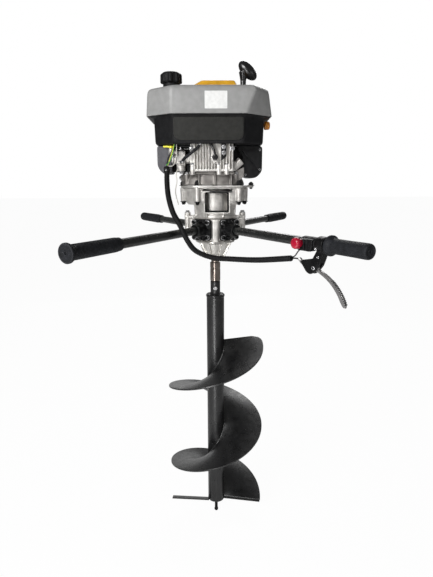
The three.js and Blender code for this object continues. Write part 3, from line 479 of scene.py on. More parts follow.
def flight(bm):
    """A helical plate whose outer corner is rounded off at its top end."""
    steps = 200
    total = FLIGHT_TURNS * 2 * math.pi
    corner = math.radians(12)
    inner = TUBE_R + FIT
    rings = []
    for i in range(steps + 1):
        turn = total * i / steps
        angle = FLIGHT_START + turn
        left = max(0.0, 1 - (total - turn) / corner)
        outer = BIT_R - (BIT_R - CORNER_R) * (1 - math.sqrt(max(0.0, 1 - left * left)))
        z = flight_z(angle)
        radii = [inner + (outer - inner) * k / 6 for k in range(7)]
        lower = [(r * math.cos(angle), r * math.sin(angle), z) for r in radii]
        upper = [(x, y, z + FLIGHT_T) for x, y, z in reversed(lower)]
        rings.append(lower + upper)
    loft(bm, rings)


piece("auger_flight", flight, "bit_paint", "bit", "bit_flight", bevel=0.9)


def flight_welds(bm):
    """Uneven fillet welds where the flight meets the tube, above and below it."""
    dice = random.Random(SEED)
    r = TUBE_R + 0.7
    for side in (-0.6, FLIGHT_T + 0.6):
        path = []
        for i in range(260):
            angle = FLIGHT_START + 0.05 + (FLIGHT_TURNS * 2 * math.pi - 0.1) * i / 259
            path.append(Vector((r * math.cos(angle), r * math.sin(angle), flight_z(angle) + side)))
        swell = [2.1 + 0.5 * dice.random() for _ in path]
        sweep(bm, path, lambda i: swell[i], 8)


piece("flight_welds", flight_welds, "bit_paint", "bit", sharp=80)


def bit_tube(bm):
    """The tube with a raised collar at its shoulder and a narrower, bored neck."""
    inner = TUBE_R - 3
    bore = 9.3
    top = TUBE_SHOULDER
    turned(bm, [
        (inner, TUBE_BOTTOM), (TUBE_R, TUBE_BOTTOM), (TUBE_R, top - 9), (TUBE_R + 1.4, top - 7),
        (TUBE_R + 1.4, top - 2.5), (TUBE_R - 0.5, top), (NECK_R + 2.5, top + 0.3), (NECK_R, top + 3),
        (NECK_R, NECK_TOP - 1.5), (NECK_R - 1.5, NECK_TOP), (bore, NECK_TOP), (bore, top - 12),
        (inner, top - 12)], 64, closed=True)


piece("bit_shaft", bit_tube, "bit_paint", "bit", "bit_tube", bevel=0.4,
      cutter=lambda bm: rod(bm, (0, -40, PIN_Z), (0, 40, PIN_Z), 4.3))


def blade(bm, angle):
    """A straight cutting blade with a chisel edge, sloping up behind it."""
    chord, thick = 24.0, 4.6
    slope = 0.95 * FLIGHT_PITCH / (2 * math.pi * BIT_R)
    rise = chord * slope
    bevel = thick * 1.6
    outline = [(0, 0), (chord, rise), (chord, rise + thick), (bevel, thick + bevel * slope), (0, 0.5)]
    inner, outer = TUBE_R - 4, math.sqrt(BIT_R ** 2 - chord ** 2)
    m = Matrix.Translation((0, 0, box_mm("cutter_blade_left")[0].z)) @ Matrix.Rotation(angle, 4, "Z")
    loft(bm, [[(x, y, z) for y, z in outline] for x in (inner, outer)], m)


for blade_side, blade_angle in (("right", FLIGHT_START), ("left", math.radians(175))):
    piece("cutting_blade_" + blade_side, lambda bm: blade(bm, blade_angle), "bit_paint", "bit",
          "cutter_blade_" + blade_side, bevel=0.35)
PLUG_R = TUBE_R - 3 - FIT
piece("pilot_spike", lambda bm: turned(bm, [
    (0, 0), (2.2, 0), (4.2, 1.6), (6.0, 4.2), (6.5, 7), (6.1, 9.6), (5.2, 12), (5, 14), (5, 50), (6, 53),
    (PLUG_R, 57), (PLUG_R, 74), (0, 74)], 40), "black_casting", "bit", "pilot_point", sharp=50)
WELD_BEAD = circle(1.8, 10, TUBE_R - 1.2, TUBE_BOTTOM - 0.2)
piece("tube_plug_weld", lambda bm: turned(bm, WELD_BEAD, 64, closed=True), "bit_paint", "bit", sharp=80)


def pin(bm):
    rod(bm, (0, -17, PIN_Z), (0, 20, PIN_Z), 4, edge=0.6)
    hex_bolt(bm, (0, -16.5, PIN_Z), FRONT, 11.0, 5.4, False)


piece("coupling_pin", pin, "bright_steel", "bit", "drive_pin", bevel=0.3)

# ------ the output coupling and gears
COUPLING_R = 15.4
SHAFT_TOP = box_mm("output_shaft")[1].z


def coupling(bm):
    """The spigot in the neck, the coupling with a groove round it, and the planet carrier with its pins."""
    r = COUPLING_R
    turned(bm, [
        (0, 776), (8.4, 776), (9, 776.8), (9, 815), (r - 2, 815), (r, 817), (r, 852), (r - 0.7, 853),
        (r - 0.7, 855), (r, 856), (r, 871), (r - 2, 873), (12, 873), (12, 970), (32.5, 970), (32.5, 980),
        (0, 980)], 56)
    for i in range(3):
        a = i * 2 * math.pi / 3
        x, y = 22.5 * math.cos(a), 22.5 * math.sin(a)
        rod(bm, (x, y, 979), (x, y, SHAFT_TOP), 5, edge=0.5)


def coupling_holes(bm):
    rod(bm, (0, -30, PIN_Z), (0, 30, PIN_Z), 4.3)
    rod(bm, (0, -30, 863), (0, -13.6, 863), 2.6)


piece("coupling_shaft", coupling, "steel", "bit", "output_shaft", cutter=coupling_holes, bevel=0.3)
SEAL = [(13.1, 881), (17, 881), (18.5, 883), (18.5, 886), (20.4, 886.5), (20.4, 890), (13.1, 890)]
piece("nose_seal", lambda bm: turned(bm, SEAL, 40, closed=True), "grip_rubber", sharp=50)

# ------ gearbox housing
BARS = {"front_left": -119.35, "front_right": -60.65, "rear_left": 119.35, "rear_right": 60.65}
HANDLE_Z = 976.0
NOSE_BOTTOM = 885.0
NOSE_TOP = 938.0
SIDE_BOSS_X = 80.0
GEARBOX_TOP = 1005.0
BRACKET_FACE = 74.0
BAR_END = 570.3
GRIP_BORE = 11.3


def bar_frame(name):
    """The frame of one handlebar, which runs along its +X from the drilling axis."""
    return Matrix.Translation((0, 0, HANDLE_Z)) @ Matrix.Rotation(math.radians(BARS[name]), 4, "Z")


ALONG = towards((0, 0, 0), (1, 0, 0))


def nose(bm):
    """The polished cone under the gearbox, with eight upright webs and a bright rim."""
    turned(bm, [
        (0, NOSE_BOTTOM), (25.4, NOSE_BOTTOM), (26.6, NOSE_BOTTOM + 1.4), (27, 896), (30, 901), (46, 933),
        (56.6, 934.6), (58, 936), (58, 940.5), (57, 942), (0, 942)], 72)
    for i in range(8):
        m = Matrix.Rotation((i + 0.5) * math.pi / 4, 4, "Z")
        slab(bm, [(10, NOSE_BOTTOM + 1), (29, NOSE_BOTTOM + 1), (54, NOSE_TOP), (10, NOSE_TOP)], -2.2, 2.2, m)


def nose_bore(bm):
    low = NOSE_BOTTOM - 3
    turned(bm, [(0, low), (15, low), (15, 911), (21.3, 911), (21.3, 946), (0, 946)], 48)


piece("gearbox_nose", nose, "polished_aluminium", cad="gearbox_housing", melt=(0.9, 3), cutter=nose_bore)


def gearbox(bm):
    """The drum of the gearbox with four pads for the bars, two ribs and two side bosses."""
    turned(bm, [(0, 941), (56, 941), (54, 945), (53, 998), (61, 1000.5), (61, GEARBOX_TOP),
                (0, GEARBOX_TOP)], 64)
    for name in BARS:
        block(bm, (0, -26, -28), (BRACKET_FACE - FIT, 26, 28), bar_frame(name))
    for sign in (-1, 1):
        prism(bm, oblong(-9, sign * 40, 9, sign * 78, 4), 941, GEARBOX_TOP)
        rod(bm, (sign * SIDE_BOSS_X, -8, 966), (sign * SIDE_BOSS_X, -8, 1021), 9, edge=1)
        edge = sign * SIDE_BOSS_X
        block(bm, (edge / 2, -15, 968), (edge, -1, 1004))


def gearbox_hollow(bm):
    high = GEARBOX_TOP + 3
    turned(bm, [(0, 938), (21.3, 938), (21.3, 960), (42.3, 966), (42.3, high), (0, high)], 48)


piece("gearbox_casting", gearbox, "cast_aluminium", melt=(1.4, 4), cutter=gearbox_hollow)


def boss_bolts(bm):
    for sign in (-1, 1):
        hex_bolt(bm, (sign * SIDE_BOSS_X, -8, 1020.6), UP, 10, 5)


piece("boss_bolts", boss_bolts, "bright_steel")


# ------ handlebars
def bracket(bm, name):
    """A square plate with a tapering socket for the bar and four webs."""
    m = bar_frame(name) @ Matrix.Translation((BRACKET_FACE, 0, 0))
    square = oblong(-30, -30, 30, 30, 9)
    loft(bm, [[(x, y, z) for y, z in square] for x in (0, 9.5)], m)
    turned(bm, [(0, 2), (24, 2), (20.5, 12), (17, 40), (16.4, 44), (0, 44)], 40, m @ ALONG)
    for sign in (-1, 1):
        slab(bm, [(6, 0), (40, 0), (36, sign * 16.5), (10, sign * 28), (6, sign * 28)], -3.6, 3.6, m)
        prism(bm, [(6, 0), (34, 0), (32, sign * 16), (10, sign * 27), (6, sign * 27)], -3.4, 3.4, m)


def bar_socket(bm, name):
    rod(bm, (79.7, 0, 0), (140, 0, 0), GRIP_BORE, matrix=bar_frame(name))


def each_bracket_bolt(name):
    m = bar_frame(name)
    outward = m.to_3x3() @ Vector((1, 0, 0))
    return [(m @ Vector((BRACKET_FACE + 9.4, y, z)), outward) for y in (-21, 21) for z in (-21, 21)]


def bracket_bolts(bm, name):
    for at, outward in each_bracket_bolt(name):
        socket_bolt(bm, at + outward, outward, 5.2, 6, False)


def bracket_washers(bm, name):
    for at, outward in each_bracket_bolt(name):
        ring = [(5.4, -0.3), (7.4, -0.3), (7.7, 0.2), (7.6, 1.5), (5.4, 1.5)]
        turned(bm, ring, 36, towards(at, outward), closed=True)


def bar(bm, name):
    turned(bm, [(9, 80), (11, 80), (11, 570), (9, 570)], 40, bar_frame(name) @ ALONG, closed=True)


def ribbed(r, start, end, pitch, depth):
    """Outline points for a sleeve with shallow grooves round it."""
    points = []
    t = start
    while t + pitch <= end:
        points += [(r, t), (r, t + pitch * 0.62), (r - depth, t + pitch * 0.74), (r - depth, t + pitch * 0.9)]
        t += pitch
    return points + [(r, t)]




def grip_end(end, r):
    """The closed end of a sleeve: a raised rim, a shallow recess and a vent in the middle."""
    return [(r - 1, end), (r - 3.4, end), (r - 4.6, end - 1.3), (5.4, end - 1.3), (4.8, end - 0.4),
            (3, end - 0.4), (2.6, end - 3), (0, end - 3)]


def sleeve(bm, name, start, profile, end, end_r):
    """A rubber sleeve over the bar's end, from its inner bore outwards."""
    bore = [(0, BAR_END), (GRIP_BORE, BAR_END), (GRIP_BORE, start)]
    turned(bm, bore + profile + grip_end(end, end_r), 56, bar_frame(name) @ ALONG)


def front_left_grip(bm):
    sleeve(bm, "front_left", 424, [(13, 424), (14.6, 427), (15, 434)] + ribbed(15.8, 440, 556, 7.2, 0.55)
           + [(16, 562), (19.2, 568.2), (20, 570), (20, 574), (19.2, 575)], 575, 20)


def front_right_grip(bm):
    sleeve(bm, "front_right", 474, [
        (20.6, 474), (21.8, 475.2), (21.8, 479.4), (20, 481), (17, 485), (15.9, 490), (15.7, 530),
        (15.9, 571), (15.5, 576), (14.2, 578.6)], 579, 14.2)


def rear_grip(bm, name):
    sleeve(bm, name, 396, [(13, 396), (14.5, 398.5), (14.5, 427), (15.8, 431)]
           + ribbed(15.8, 440, 560, 7.2, 0.55) + [(15.8, 572), (15.2, 579), (13, 584), (12, 586)], 586, 12.6)


for bar_name in BARS:
    piece("bracket_" + bar_name, lambda bm: bracket(bm, bar_name), "black_casting",
          cad="handle_bracket_" + bar_name, melt=(1.2, 3), cutter=lambda bm: bar_socket(bm, bar_name))
    piece("bracket_bolts_" + bar_name, lambda bm: bracket_bolts(bm, bar_name), "black_casting", bevel=0.25)
    piece("bracket_washers_" + bar_name, lambda bm: bracket_washers(bm, bar_name), "bright_steel", bevel=0.15)
    piece("tube_" + bar_name, lambda bm: bar(bm, bar_name), "bar_paint", cad="handle_bar_" + bar_name,
          bevel=0.3)
piece("sleeve_front_left", front_left_grip, "grip_rubber", cad="grip_front_left", bevel=0.35)
piece("sleeve_front_right", front_right_grip, "grip_rubber", cad="grip_front_right", bevel=0.35)
for bar_name in ("rear_left", "rear_right"):
    piece("sleeve_" + bar_name, lambda bm: rear_grip(bm, bar_name), "grip_rubber", cad="grip_" + bar_name,
          bevel=0.35)

# ------ controls on the front right bar
RIGHT = bar_frame("front_right")
BUTTON_T = 407.0
LEVER_T = 437.0
LEVER_Z = -52.0
TIP_SHARE = 0.84         # where the lever's rounded tip begins, as a share of its length


def switch_body(bm):
    """A ring round the bar with a flat box on its front for the stop button."""
    turned(bm, [(0, 396), (13, 396), (13.6, 397), (13.6, 439), (13, 440), (0, 440)], 40, RIGHT @ ALONG)
    face = rounded([(397, -17), (432, -17), (438, -10), (438, 9), (397, 9)], 5)
    loft(bm, [[(t, y, z) for t, z in face] for y in (0, -18)], RIGHT)
    front = oblong(398, -16, 421, 9, 6)
    loft(bm, [[(t, y, z) for t, z in front] for y in (-14, -24)], RIGHT)


def switch_hollow(bm):
    rod(bm, (390, 0, 0), (443, 0, 0), GRIP_BORE, matrix=RIGHT)
    rod(bm, (BUTTON_T, -26, 0), (BUTTON_T, -13, 0), 9.3, matrix=RIGHT)


piece("switch_case", switch_body, "cowl_black", cad="switch_housing", melt=(0.8, 2), cutter=switch_hollow)


def stop_button(bm):
    m = RIGHT @ towards((BUTTON_T, -18, 0), FRONT)
    turned(bm, [(0, 0), (9, 0), (9, 10.5), (11.8, 11), (12.5, 12), (12.5, 17.5), (12, 20), (10.8, 22),
                (8.5, 23.2), (5, 23.8), (0, 24)], 56, m)


piece("stop_button", stop_button, "button_red", "kill_button", "kill_button", sharp=50)


def clamp(bm):
    """The ring round the bar, the lever's arm and the tilted cable holder."""
    turned(bm, [(0, 444), (16.2, 444), (17, 445), (17, 465), (16.2, 466), (0, 466)], 40, RIGHT @ ALONG)
    arm = rounded([(444, -12), (466, -12), (452, -46), (436, -64), (424, -64), (424, -44)], 4)
    slab(bm, arm, -8, 8, RIGHT)
    holder = rounded([(394, -44), (400, -39), (432, -32), (450, -37), (440, -60), (426, -68), (414, -64)], 4)
    slab(bm, holder, -9, 9, RIGHT)


def clamp_hollow(bm):
    rod(bm, (440, 0, 0), (470, 0, 0), GRIP_BORE, matrix=RIGHT)
    block(bm, (410, -3.6, -80), (480, 3.6, -39), RIGHT)


def clamp_screws(bm):
    turn = RIGHT.to_3x3()
    rod(bm, (LEVER_T, -8.8, LEVER_Z), (LEVER_T, 8.8, LEVER_Z), 3, matrix=RIGHT)
    socket_bolt(bm, RIGHT @ Vector((LEVER_T, -8.2, LEVER_Z)), turn @ Vector(FRONT), 4.6, 2.6, False)
    hex_bolt(bm, RIGHT @ Vector((LEVER_T, 8.2, LEVER_Z)), turn @ Vector(BACK), 8, 4, False)
    socket_bolt(bm, RIGHT @ Vector((448, -14.6, -8)), turn @ Vector((0, -1, -0.55)), 3.2, 2.6, False)
    socket_bolt(bm, RIGHT @ Vector((449, -7.8, -27)), turn @ Vector(FRONT), 3.0, 2.4, False)
    for t in (404, 424):
        socket_bolt(bm, RIGHT @ Vector((t, -8, -16.6)), DOWN, 2.4, 1.6, False)


piece("lever_holder", clamp, "black_casting", cad="lever_clamp", melt=(0.8, 2), cutter=clamp_hollow)
piece("control_screws", clamp_screws, "bright_steel", bevel=0.2)


def lever_spine(share):
    a, b, c = Vector((LEVER_T, 0, LEVER_Z - 4)), Vector((500, 0, -70)), Vector((526, 0, -122))
    return a * (1 - share) ** 2 + b * 2 * share * (1 - share) + c * share ** 2


def squeeze_lever(bm):
    """A flat lever that widens along its curve to a rounded tip, with the pivot eye and the cable arm."""
    steps = 40
    upper, lower = [], []
    for i in range(steps + 1):
        share = i / steps
        p = lever_spine(share)
        d = (lever_spine(min(1, share + 0.01)) - lever_spine(max(0, share - 0.01))).normalized()
        half = 3.4 + 2.8 * share
        if share >= TIP_SHARE:
            half = 5.75 * math.sqrt(max(0.02, 1 - ((share - TIP_SHARE) / (1 - TIP_SHARE)) ** 2))
        upper.append((p.x - d.z * half, p.z + d.x * half))
        lower.insert(0, (p.x + d.z * half, p.z - d.x * half))
    slab(bm, upper + lower, -3, 3, RIGHT)
    rod(bm, (LEVER_T, -3, LEVER_Z), (LEVER_T, 3, LEVER_Z), 8, matrix=RIGHT)
    rod(bm, (418, -3, -50), (418, 3, -50), 4, matrix=RIGHT)
    slab(bm, [(418, -54), (418, -46), (LEVER_T, -46), (LEVER_T, -58)], -3, 3, RIGHT)


piece("squeeze_lever", squeeze_lever, "lever_metal", "throttle_lever", "throttle_lever", melt=(0.5, 3),
      cutter=lambda bm: rod(bm, (LEVER_T, -5, LEVER_Z), (LEVER_T, 5, LEVER_Z), 3.3, matrix=RIGHT))


def lever_ribs(bm):
    """Thin anti-slip bars set into the outer side of the lever."""
    for i in range(15):
        share = 0.44 + 0.036 * i
        p = lever_spine(share)
        d = (lever_spine(share + 0.01) - lever_spine(share - 0.01)).normalized()
        side = Vector((-d.z, 0, d.x)) * (2.9 + 2.0 * share - 40 * max(0.0, share - 0.86) ** 2)
        across = Vector((0, 3.1, 0))
        rod(bm, p + side - across, p + side + across, 1.5, segments=12, matrix=RIGHT)


piece("lever_ribs", lever_ribs, "black_casting", "throttle_lever")


def adjuster(bm):
    a, b = Vector((381, 0, -40)), Vector((395, 0, -47))
    m = RIGHT @ towards(a, b - a)
    length = (b - a).length
    outline = [(0, 0), (3.2, 0), (4, 0.6)]
    for i in range(5):
        z = 1.2 + i * 1.5
        outline += [(4.4, z), (4.0, z + 0.75)]
    turned(bm, outline + [(5.2, 8.8), (5.4, 9.4), (5.4, length - 0.6), (4.8, length), (0, length)], 24, m)


piece("barrel_adjuster", adjuster, "lever_metal", cad="cable_adjuster", sharp=30)

# ------ bell housing and clutch
BELL_SHOULDER = 1053.0
FLANGE_Z = 1091.0
BELL_BOSSES = [(-91, 20), (-49, 75), (66, 67), (86, 20)]
BELL_PLAN = [(-95, -26), (-58, -80), (-40, -84), (58, -78), (75, -70), (89, -28),
             (89, 28), (75, 70), (58, 78), (-40, 84), (-58, 80), (-95, 26)]
BOTH_SIDES = [(x, sign * y) for x, y in BELL_BOSSES for sign in (-1, 1)]


def bell(bm):
    """The bell between gearbox and engine: a waist, a shoulder with bosses, two ears and eight webs."""
    turned(bm, [(0, GEARBOX_TOP + 0.3), (61, GEARBOX_TOP + 0.3), (61, 1012), (58.5, 1016), (60, 1034),
                (64, BELL_SHOULDER + 1), (0, BELL_SHOULDER + 1)], 64)
    plan = rounded(scaled(BELL_PLAN, 0.94, 0.9), 9)
    loft(bm, [[(x * k, y * k, z) for x, y in plan] for k, z in
              ((0.86, BELL_SHOULDER - 9), (0.985, BELL_SHOULDER + 3), (1, FLANGE_Z - 6), (1, FLANGE_Z))])
    prism(bm, rounded(scaled(BELL_PLAN, 0.98, 0.96), 9), FLANGE_Z - 5, FLANGE_Z)
    for x, y in BOTH_SIDES:
        rod(bm, (x, y, BELL_SHOULDER), (x, y, FLANGE_Z), 7.4, 8.2)
    for sign in (-1, 1):
        prism(bm, oblong(sign * 45, -19, sign * 89, 3, 6),
              GEARBOX_TOP + 0.3, GEARBOX_TOP + 8)
    for i in range(8):
        m = Matrix.Rotation((i + 0.5) * math.pi / 4, 4, "Z")
        slab(bm, [(50, 1010), (63.5, 1010), (66, BELL_SHOULDER), (50, BELL_SHOULDER)], -2.2, 2.2, m)


def bell_hollow(bm):
    turned(bm, [(0, GEARBOX_TOP - 2), (16.3, GEARBOX_TOP - 2), (16.3, 1016), (44, 1016), (44, FLANGE_Z + 2),
                (0, FLANGE_Z + 2)], 56)
    slab(bm, oblong(-28, 1024, 38, 1079, 4), -120, 0)
    slab(bm, oblong(-34, 1082.8, 48, 1088, 1.5), -120, 120)


def window_rim(bm):
    """A machined frame standing round the clutch window."""
    outer = oblong(-32, 1020.5, 42, 1082, 5)
    inner = oblong(-28.5, 1024, 38.5, 1078.6, 3)
    frame_ring(bm, outer, inner, -68, -52)


piece("bell_casting", bell, "cast_aluminium", cad="bell_housing", melt=(1.3, 4), cutter=bell_hollow)
piece("window_frame", window_rim, "cast_aluminium", bevel=0.8)


def window_edge_shade(bm):
    """A black frame just inside the clutch window, painted shade for the dark edges round the drum, with a
    black bar across the top.
    """
    outer = oblong(-29.5, 1023, 39.5, 1079.6, 4)
    inner = oblong(-24, 1028, 34, 1076, 3)
    frame_ring(bm, outer, inner, -60, -44)
    block(bm, (-33, -74, 1078.4), (47, -62, 1082.6))


# the black frame inside the window is painted shade: it darkens the window's edges round the drum
piece("window_edge_shade", window_edge_shade, "black_casting", bevel=0.5)


def bell_bolts(bm):
    for x, y in BOTH_SIDES:
        rod(bm, (x, y, 1044), (x, y, BELL_SHOULDER + 2), 4, segments=20, edge=0.7)
        hex_bolt(bm, (x, y, BELL_SHOULDER + 0.2), DOWN, 10.5, 5)
        if x < 80:
            hex_bolt(bm, (x, y, FLANGE_Z + 6), UP, 13, 9)
            rod(bm, (x, y, FLANGE_Z + 12), (x, y, FLANGE_Z + 20), 5, segments=20, edge=0.9)


piece("bell_bolts", bell_bolts, "black_casting", bevel=0.3)


def gear_outline(teeth, module=1.25):
    root, tip = module * teeth / 2 - 1.4, module * teeth / 2 + 1
    step = 2 * math.pi / teeth
    plan = []
    for i in range(teeth):
        for r, share in ((root, -0.3), (tip, -0.08), (tip, 0.08), (root, 0.3)):
            a = (i + share) * step
            plan.append((r * math.cos(a), r * math.sin(a)))
    return plan


def drum(bm):
    """The clutch drum with a groove round it, on a stem that carries the sun pinion."""
    turned(bm, [(0, 1001), (5, 1001), (5, 1003), (7, 1003), (7, 1018), (33, 1019.6), (36, 1021), (37, 1023),
                (37, 1044), (36.4, 1044.6), (36.4, 1046.4), (37, 1047), (37, 1080.5), (36, 1082),
                (34.6, 1082), (34, 1081), (34, 1023), (0, 1023)], 72)
    prism(bm, gear_outline(12), 985, 1001.5)


piece("clutch_bell", drum, "brushed_steel", "clutch_drum", "clutch_drum", sharp=35)

# ------ engine castings
FLANGE_PLAN = [(-97, -28), (-60, -84), (-40, -88), (60, -82), (78, -74), (92, -30), (108, -22), (112, -8),
               (108, 4), (92, 30), (78, 74), (60, 82), (-40, 88), (-60, 84), (-97, 28)]
CRANKCASE_Z = 1097.0
SEAM_Z = 1131.0
CYLINDER_Z = 1170.0
COWL_BOTTOM = 1203.0


def flange(bm):
    plan = rounded(FLANGE_PLAN, 9)
    hole = circle(46, len(plan), phase=math.atan2(plan[0][1], plan[0][0]))
    low, high = FLANGE_Z + FIT, CRANKCASE_Z
    loft(bm, [[(x, y, z) for x, y in ring] for ring, z in
              ((plan, low), (plan, high), (hole, high), (hole, low))], closed=True)


def ear_nut(bm):
    x, y, z = 104, -9, CRANKCASE_Z
    hex_bolt(bm, (x, y, z), UP, 12, 6)
    rod(bm, (x, y, z - 10), (x, y, z + 10), 4, segments=20, edge=0.6)


piece("flange_plate", flange, "cast_aluminium", cad="engine_flange", bevel=0.8)
piece("flange_ear_nut", ear_nut, "black_casting")

CASE_PLAN = [(-98, -22), (-76, -64), (-42, -82), (44, -80), (70, -60), (84, -24),
             (84, 30), (64, 70), (-70, 70), (-98, 30)]


def case(bm):
    """The crankcase: a tapering lower half, a seam plate, the tower behind the barrel, and its bosses."""
    plan = rounded(CASE_PLAN, 16, 5)
    levels = ((0.985, 0.985, CRANKCASE_Z + 0.4), (1, 1, CRANKCASE_Z + 2), (0.985, 0.99, 1106),
              (0.94, 0.97, 1114), (0.87, 0.95, 1122), (0.78, 0.92, SEAM_Z))
    loft(bm, [[(x * kx, y * ky, z) for x, y in plan] for kx, ky, z in levels])
    prism(bm, oblong(-70, -86, 54, 60, 8), SEAM_Z - 4, SEAM_Z + 2.6)
    prism(bm, oblong(-52, -29, 50, 66, 8), SEAM_Z - 5, COWL_BOTTOM + 8)
    for a, b, r in (((-88, -40, 1124), (-40, -50, 1136), 9), ((-92, -26, 1118), (-70, -44, 1122), 10),
                    ((-78, -54, 1099), (-78, -54, 1128), 7), ((58, -60, 1099), (58, -60, 1128), 7)):
        rod(bm, a, b, r)
    for x in (-44, 0, 44):
        slab(bm, [(x - 2, 1098), (x + 2, 1098), (x + 2, 1126), (x - 2, 1126)], -83, -60)
    for z in (1146, 1162, 1178, 1194):
        block(bm, (-55, 0, z), (53, 69, z + 3.4))


def case_hollow(bm):
    rod(bm, (0, 0, 1106), (0, 0, COWL_BOTTOM + 1), 36)
    block(bm, (-26, -60, 1134.5), (26, 0, COWL_BOTTOM))
    rod(bm, (0, 0, 1090), (0, 0, 1220), 12)


piece("crankcase_casting", case, "dark_aluminium", cad="crankcase", melt=(1.4, 4), cutter=case_hollow)


def case_bolts(bm):
    for x, y in ((-78, -54), (58, -60)):
        hex_bolt(bm, (x, y, 1127.5), UP, 9, 5)
    for x in (-60, -30, 22, 46):
        hex_bolt(bm, (x, -78, SEAM_Z + 2.2), UP, 7, 3.6, False)
    hex_bolt(bm, (-92.5, -25.4, 1117.8), (-1, 0.5, -0.1), 11, 6)


piece("case_bolts", case_bolts, "bright_steel", bevel=0.3)


BARREL_FACE = -83.7


def barrel(bm):
    """The cylinder on its side, with upright fins round it and the inlet port on the left."""
    rod(bm, (0, BARREL_FACE, CYLINDER_Z), (0, -29.5, CYLINDER_Z), 30)
    fin = oblong(-56, SEAM_Z + 3, 46, COWL_BOTTOM + 4, 6)
    y = BARREL_FACE
    while y < -32:
        slab(bm, fin, y, y + 2.8)
        y += 8
    block(bm, (-64, -56, 1150), (-20, -38, 1186))


def barrel_hollow(bm):
    rod(bm, (0, -120, CYLINDER_Z), (0, 0, CYLINDER_Z), 22)
    rod(bm, (-90, -47, 1168), (-10, -47, 1168), 7)


piece("finned_barrel", barrel, "cast_aluminium", cad="cylinder_block", melt=(0.9, 1), cutter=barrel_hollow)

HEAD_LEFT, HEAD_RIGHT = -66.0, 49.4
HEAD_PLATE = -92.0
HEAD_STUDS = (HEAD_LEFT + 6, 10, 31)
TOP_STUDS = (HEAD_LEFT + 5, HEAD_RIGHT - 5)


def head(bm):
    """The finned head with a gap for the plug and five stud bosses."""
    low, high = SEAM_Z + 3, COWL_BOTTOM + 4
    slab(bm, oblong(HEAD_LEFT, low, HEAD_RIGHT, high, 5), HEAD_PLATE, BARREL_FACE - 0.6)
    x = HEAD_LEFT + 10
    while x < HEAD_RIGHT - 3:
        block(bm, (x, -102, SEAM_Z + 9), (x + 2.7, HEAD_PLATE + 1, high))
        x += 7.7
    block(bm, (HEAD_LEFT, -100.5, low), (HEAD_RIGHT, HEAD_PLATE + 1, SEAM_Z + 9.5))
    for x in HEAD_STUDS:
        rod(bm, (x, -96, SEAM_Z - 6), (x, -96, SEAM_Z + 20), 6.6)
    for x in TOP_STUDS:
        rod(bm, (x, -100, 1192), (x, -86, 1192), 6)


def head_hollow(bm):
    block(bm, (-13, -112, CYLINDER_Z - 13), (15, HEAD_PLATE, COWL_BOTTOM + 8))
    rod(bm, (0, -130, CYLINDER_Z), (0, -80, CYLINDER_Z), 5.3)


piece("finned_head", head, "cast_aluminium", cad="cylinder_head", melt=(0.8, 1), cutter=head_hollow)


def head_bolts(bm):
    for x in HEAD_STUDS:
        hex_bolt(bm, (x, -96, SEAM_Z + 19.6), UP, 8.5, 4.4)
    for x in TOP_STUDS:
        hex_bolt(bm, (x, -99.6, 1192), FRONT, 8.5, 4)


piece("head_bolts", head_bolts, "bright_steel", bevel=0.3)


def plug(bm):
    y = HEAD_PLATE - 0.3
    m = towards((0, y, CYLINDER_Z), FRONT)
    rod(bm, (0, -86, CYLINDER_Z), (0, y + 1, CYLINDER_Z), 5)
    loft(bm, [[(px, pz, z) for px, pz in circle(9, 6)] for z in (0, 6)], m)
    turned(bm, [(0, 5), (7.4, 5), (7.4, 7), (6.4, 7.6), (5, 8), (5, 11), (0, 11)], 28, m)


piece("ignition_plug", plug, "bright_steel", cad="spark_plug", bevel=0.4)


def plug_boot(bm):
    y = HEAD_PLATE - 11.6
    rod(bm, (0, y, CYLINDER_Z), (0, y - 8, CYLINDER_Z), 8, 7.4, edge=1.5)
    lead = smooth_path([(0, y - 4, CYLINDER_Z), (-2, -110, 1184), (-9, -107, 1199), (-14, -107, 1214)], 1.5)
    sweep(bm, lead, 3.4, 16)


piece("plug_cap_and_lead", plug_boot, "gloss_black", cad="spark_plug_lead", melt=(0.6, 3))


def plug_strap(bm):
    """The small bracket beside the plug with its two bright nuts."""
    slab(bm, rounded([(15.5, 1160), (30, 1172), (30, 1204), (15.5, 1204)], 3), -104.5, -102.3)


def strap_nuts(bm):
    for z in (1181, 1196):
        hex_bolt(bm, (22.5, -104.3, z), FRONT, 7.5, 4)


piece("plug_strap", plug_strap, "black_casting", bevel=0.4)
piece("plug_strap_nuts", strap_nuts, "bright_steel", bevel=0.3)


# ------ intake side
def linkage_plate(bm):
    """The dark plate behind the carburettor, with the governor link and its spring post."""
    slab(bm, oblong(-118, 1134, -56, 1202, 5), -27, -24)
    slab(bm, oblong(-78, 1128, -60, 1152, 4), -50, -44)
    rod(bm, (-72, -47, 1192), (-72, -26, 1192), 5)


piece("linkage_plate", linkage_plate, "black_casting", bevel=0.5)


def filter_plan(inset):
    top, left, right = COWL_BOTTOM - 1 - inset, -157 + inset, -118 - inset
    return rounded([(left, top), (left, 1150), (left + 7, 1137 + inset), (left + 18, 1129 + inset),
                    (right, 1129 + inset), (right, top)], 7)


def filter_hollow(bm):
    slab(bm, filter_plan(3), -59, 41)
    rod(bm, (-130, -47, 1168), (-100, -47, 1168), 7)


piece("filter_box", lambda bm: slab(bm, filter_plan(0), -62, 44), "filter_plastic",
      cad="air_filter_housing", bevel=3.2, cutter=filter_hollow)


def filter_trim(bm):
    """The joint line and two snaps of the filter box."""
    frame_ring(bm, filter_plan(-1.2), filter_plan(1), -26, -30)
    for z in (1156, 1184):
        block(bm, (-159.6, -36, z), (-155.5, -20, z + 9))


piece("filter_trim", filter_trim, "cowl_black", bevel=0.6)


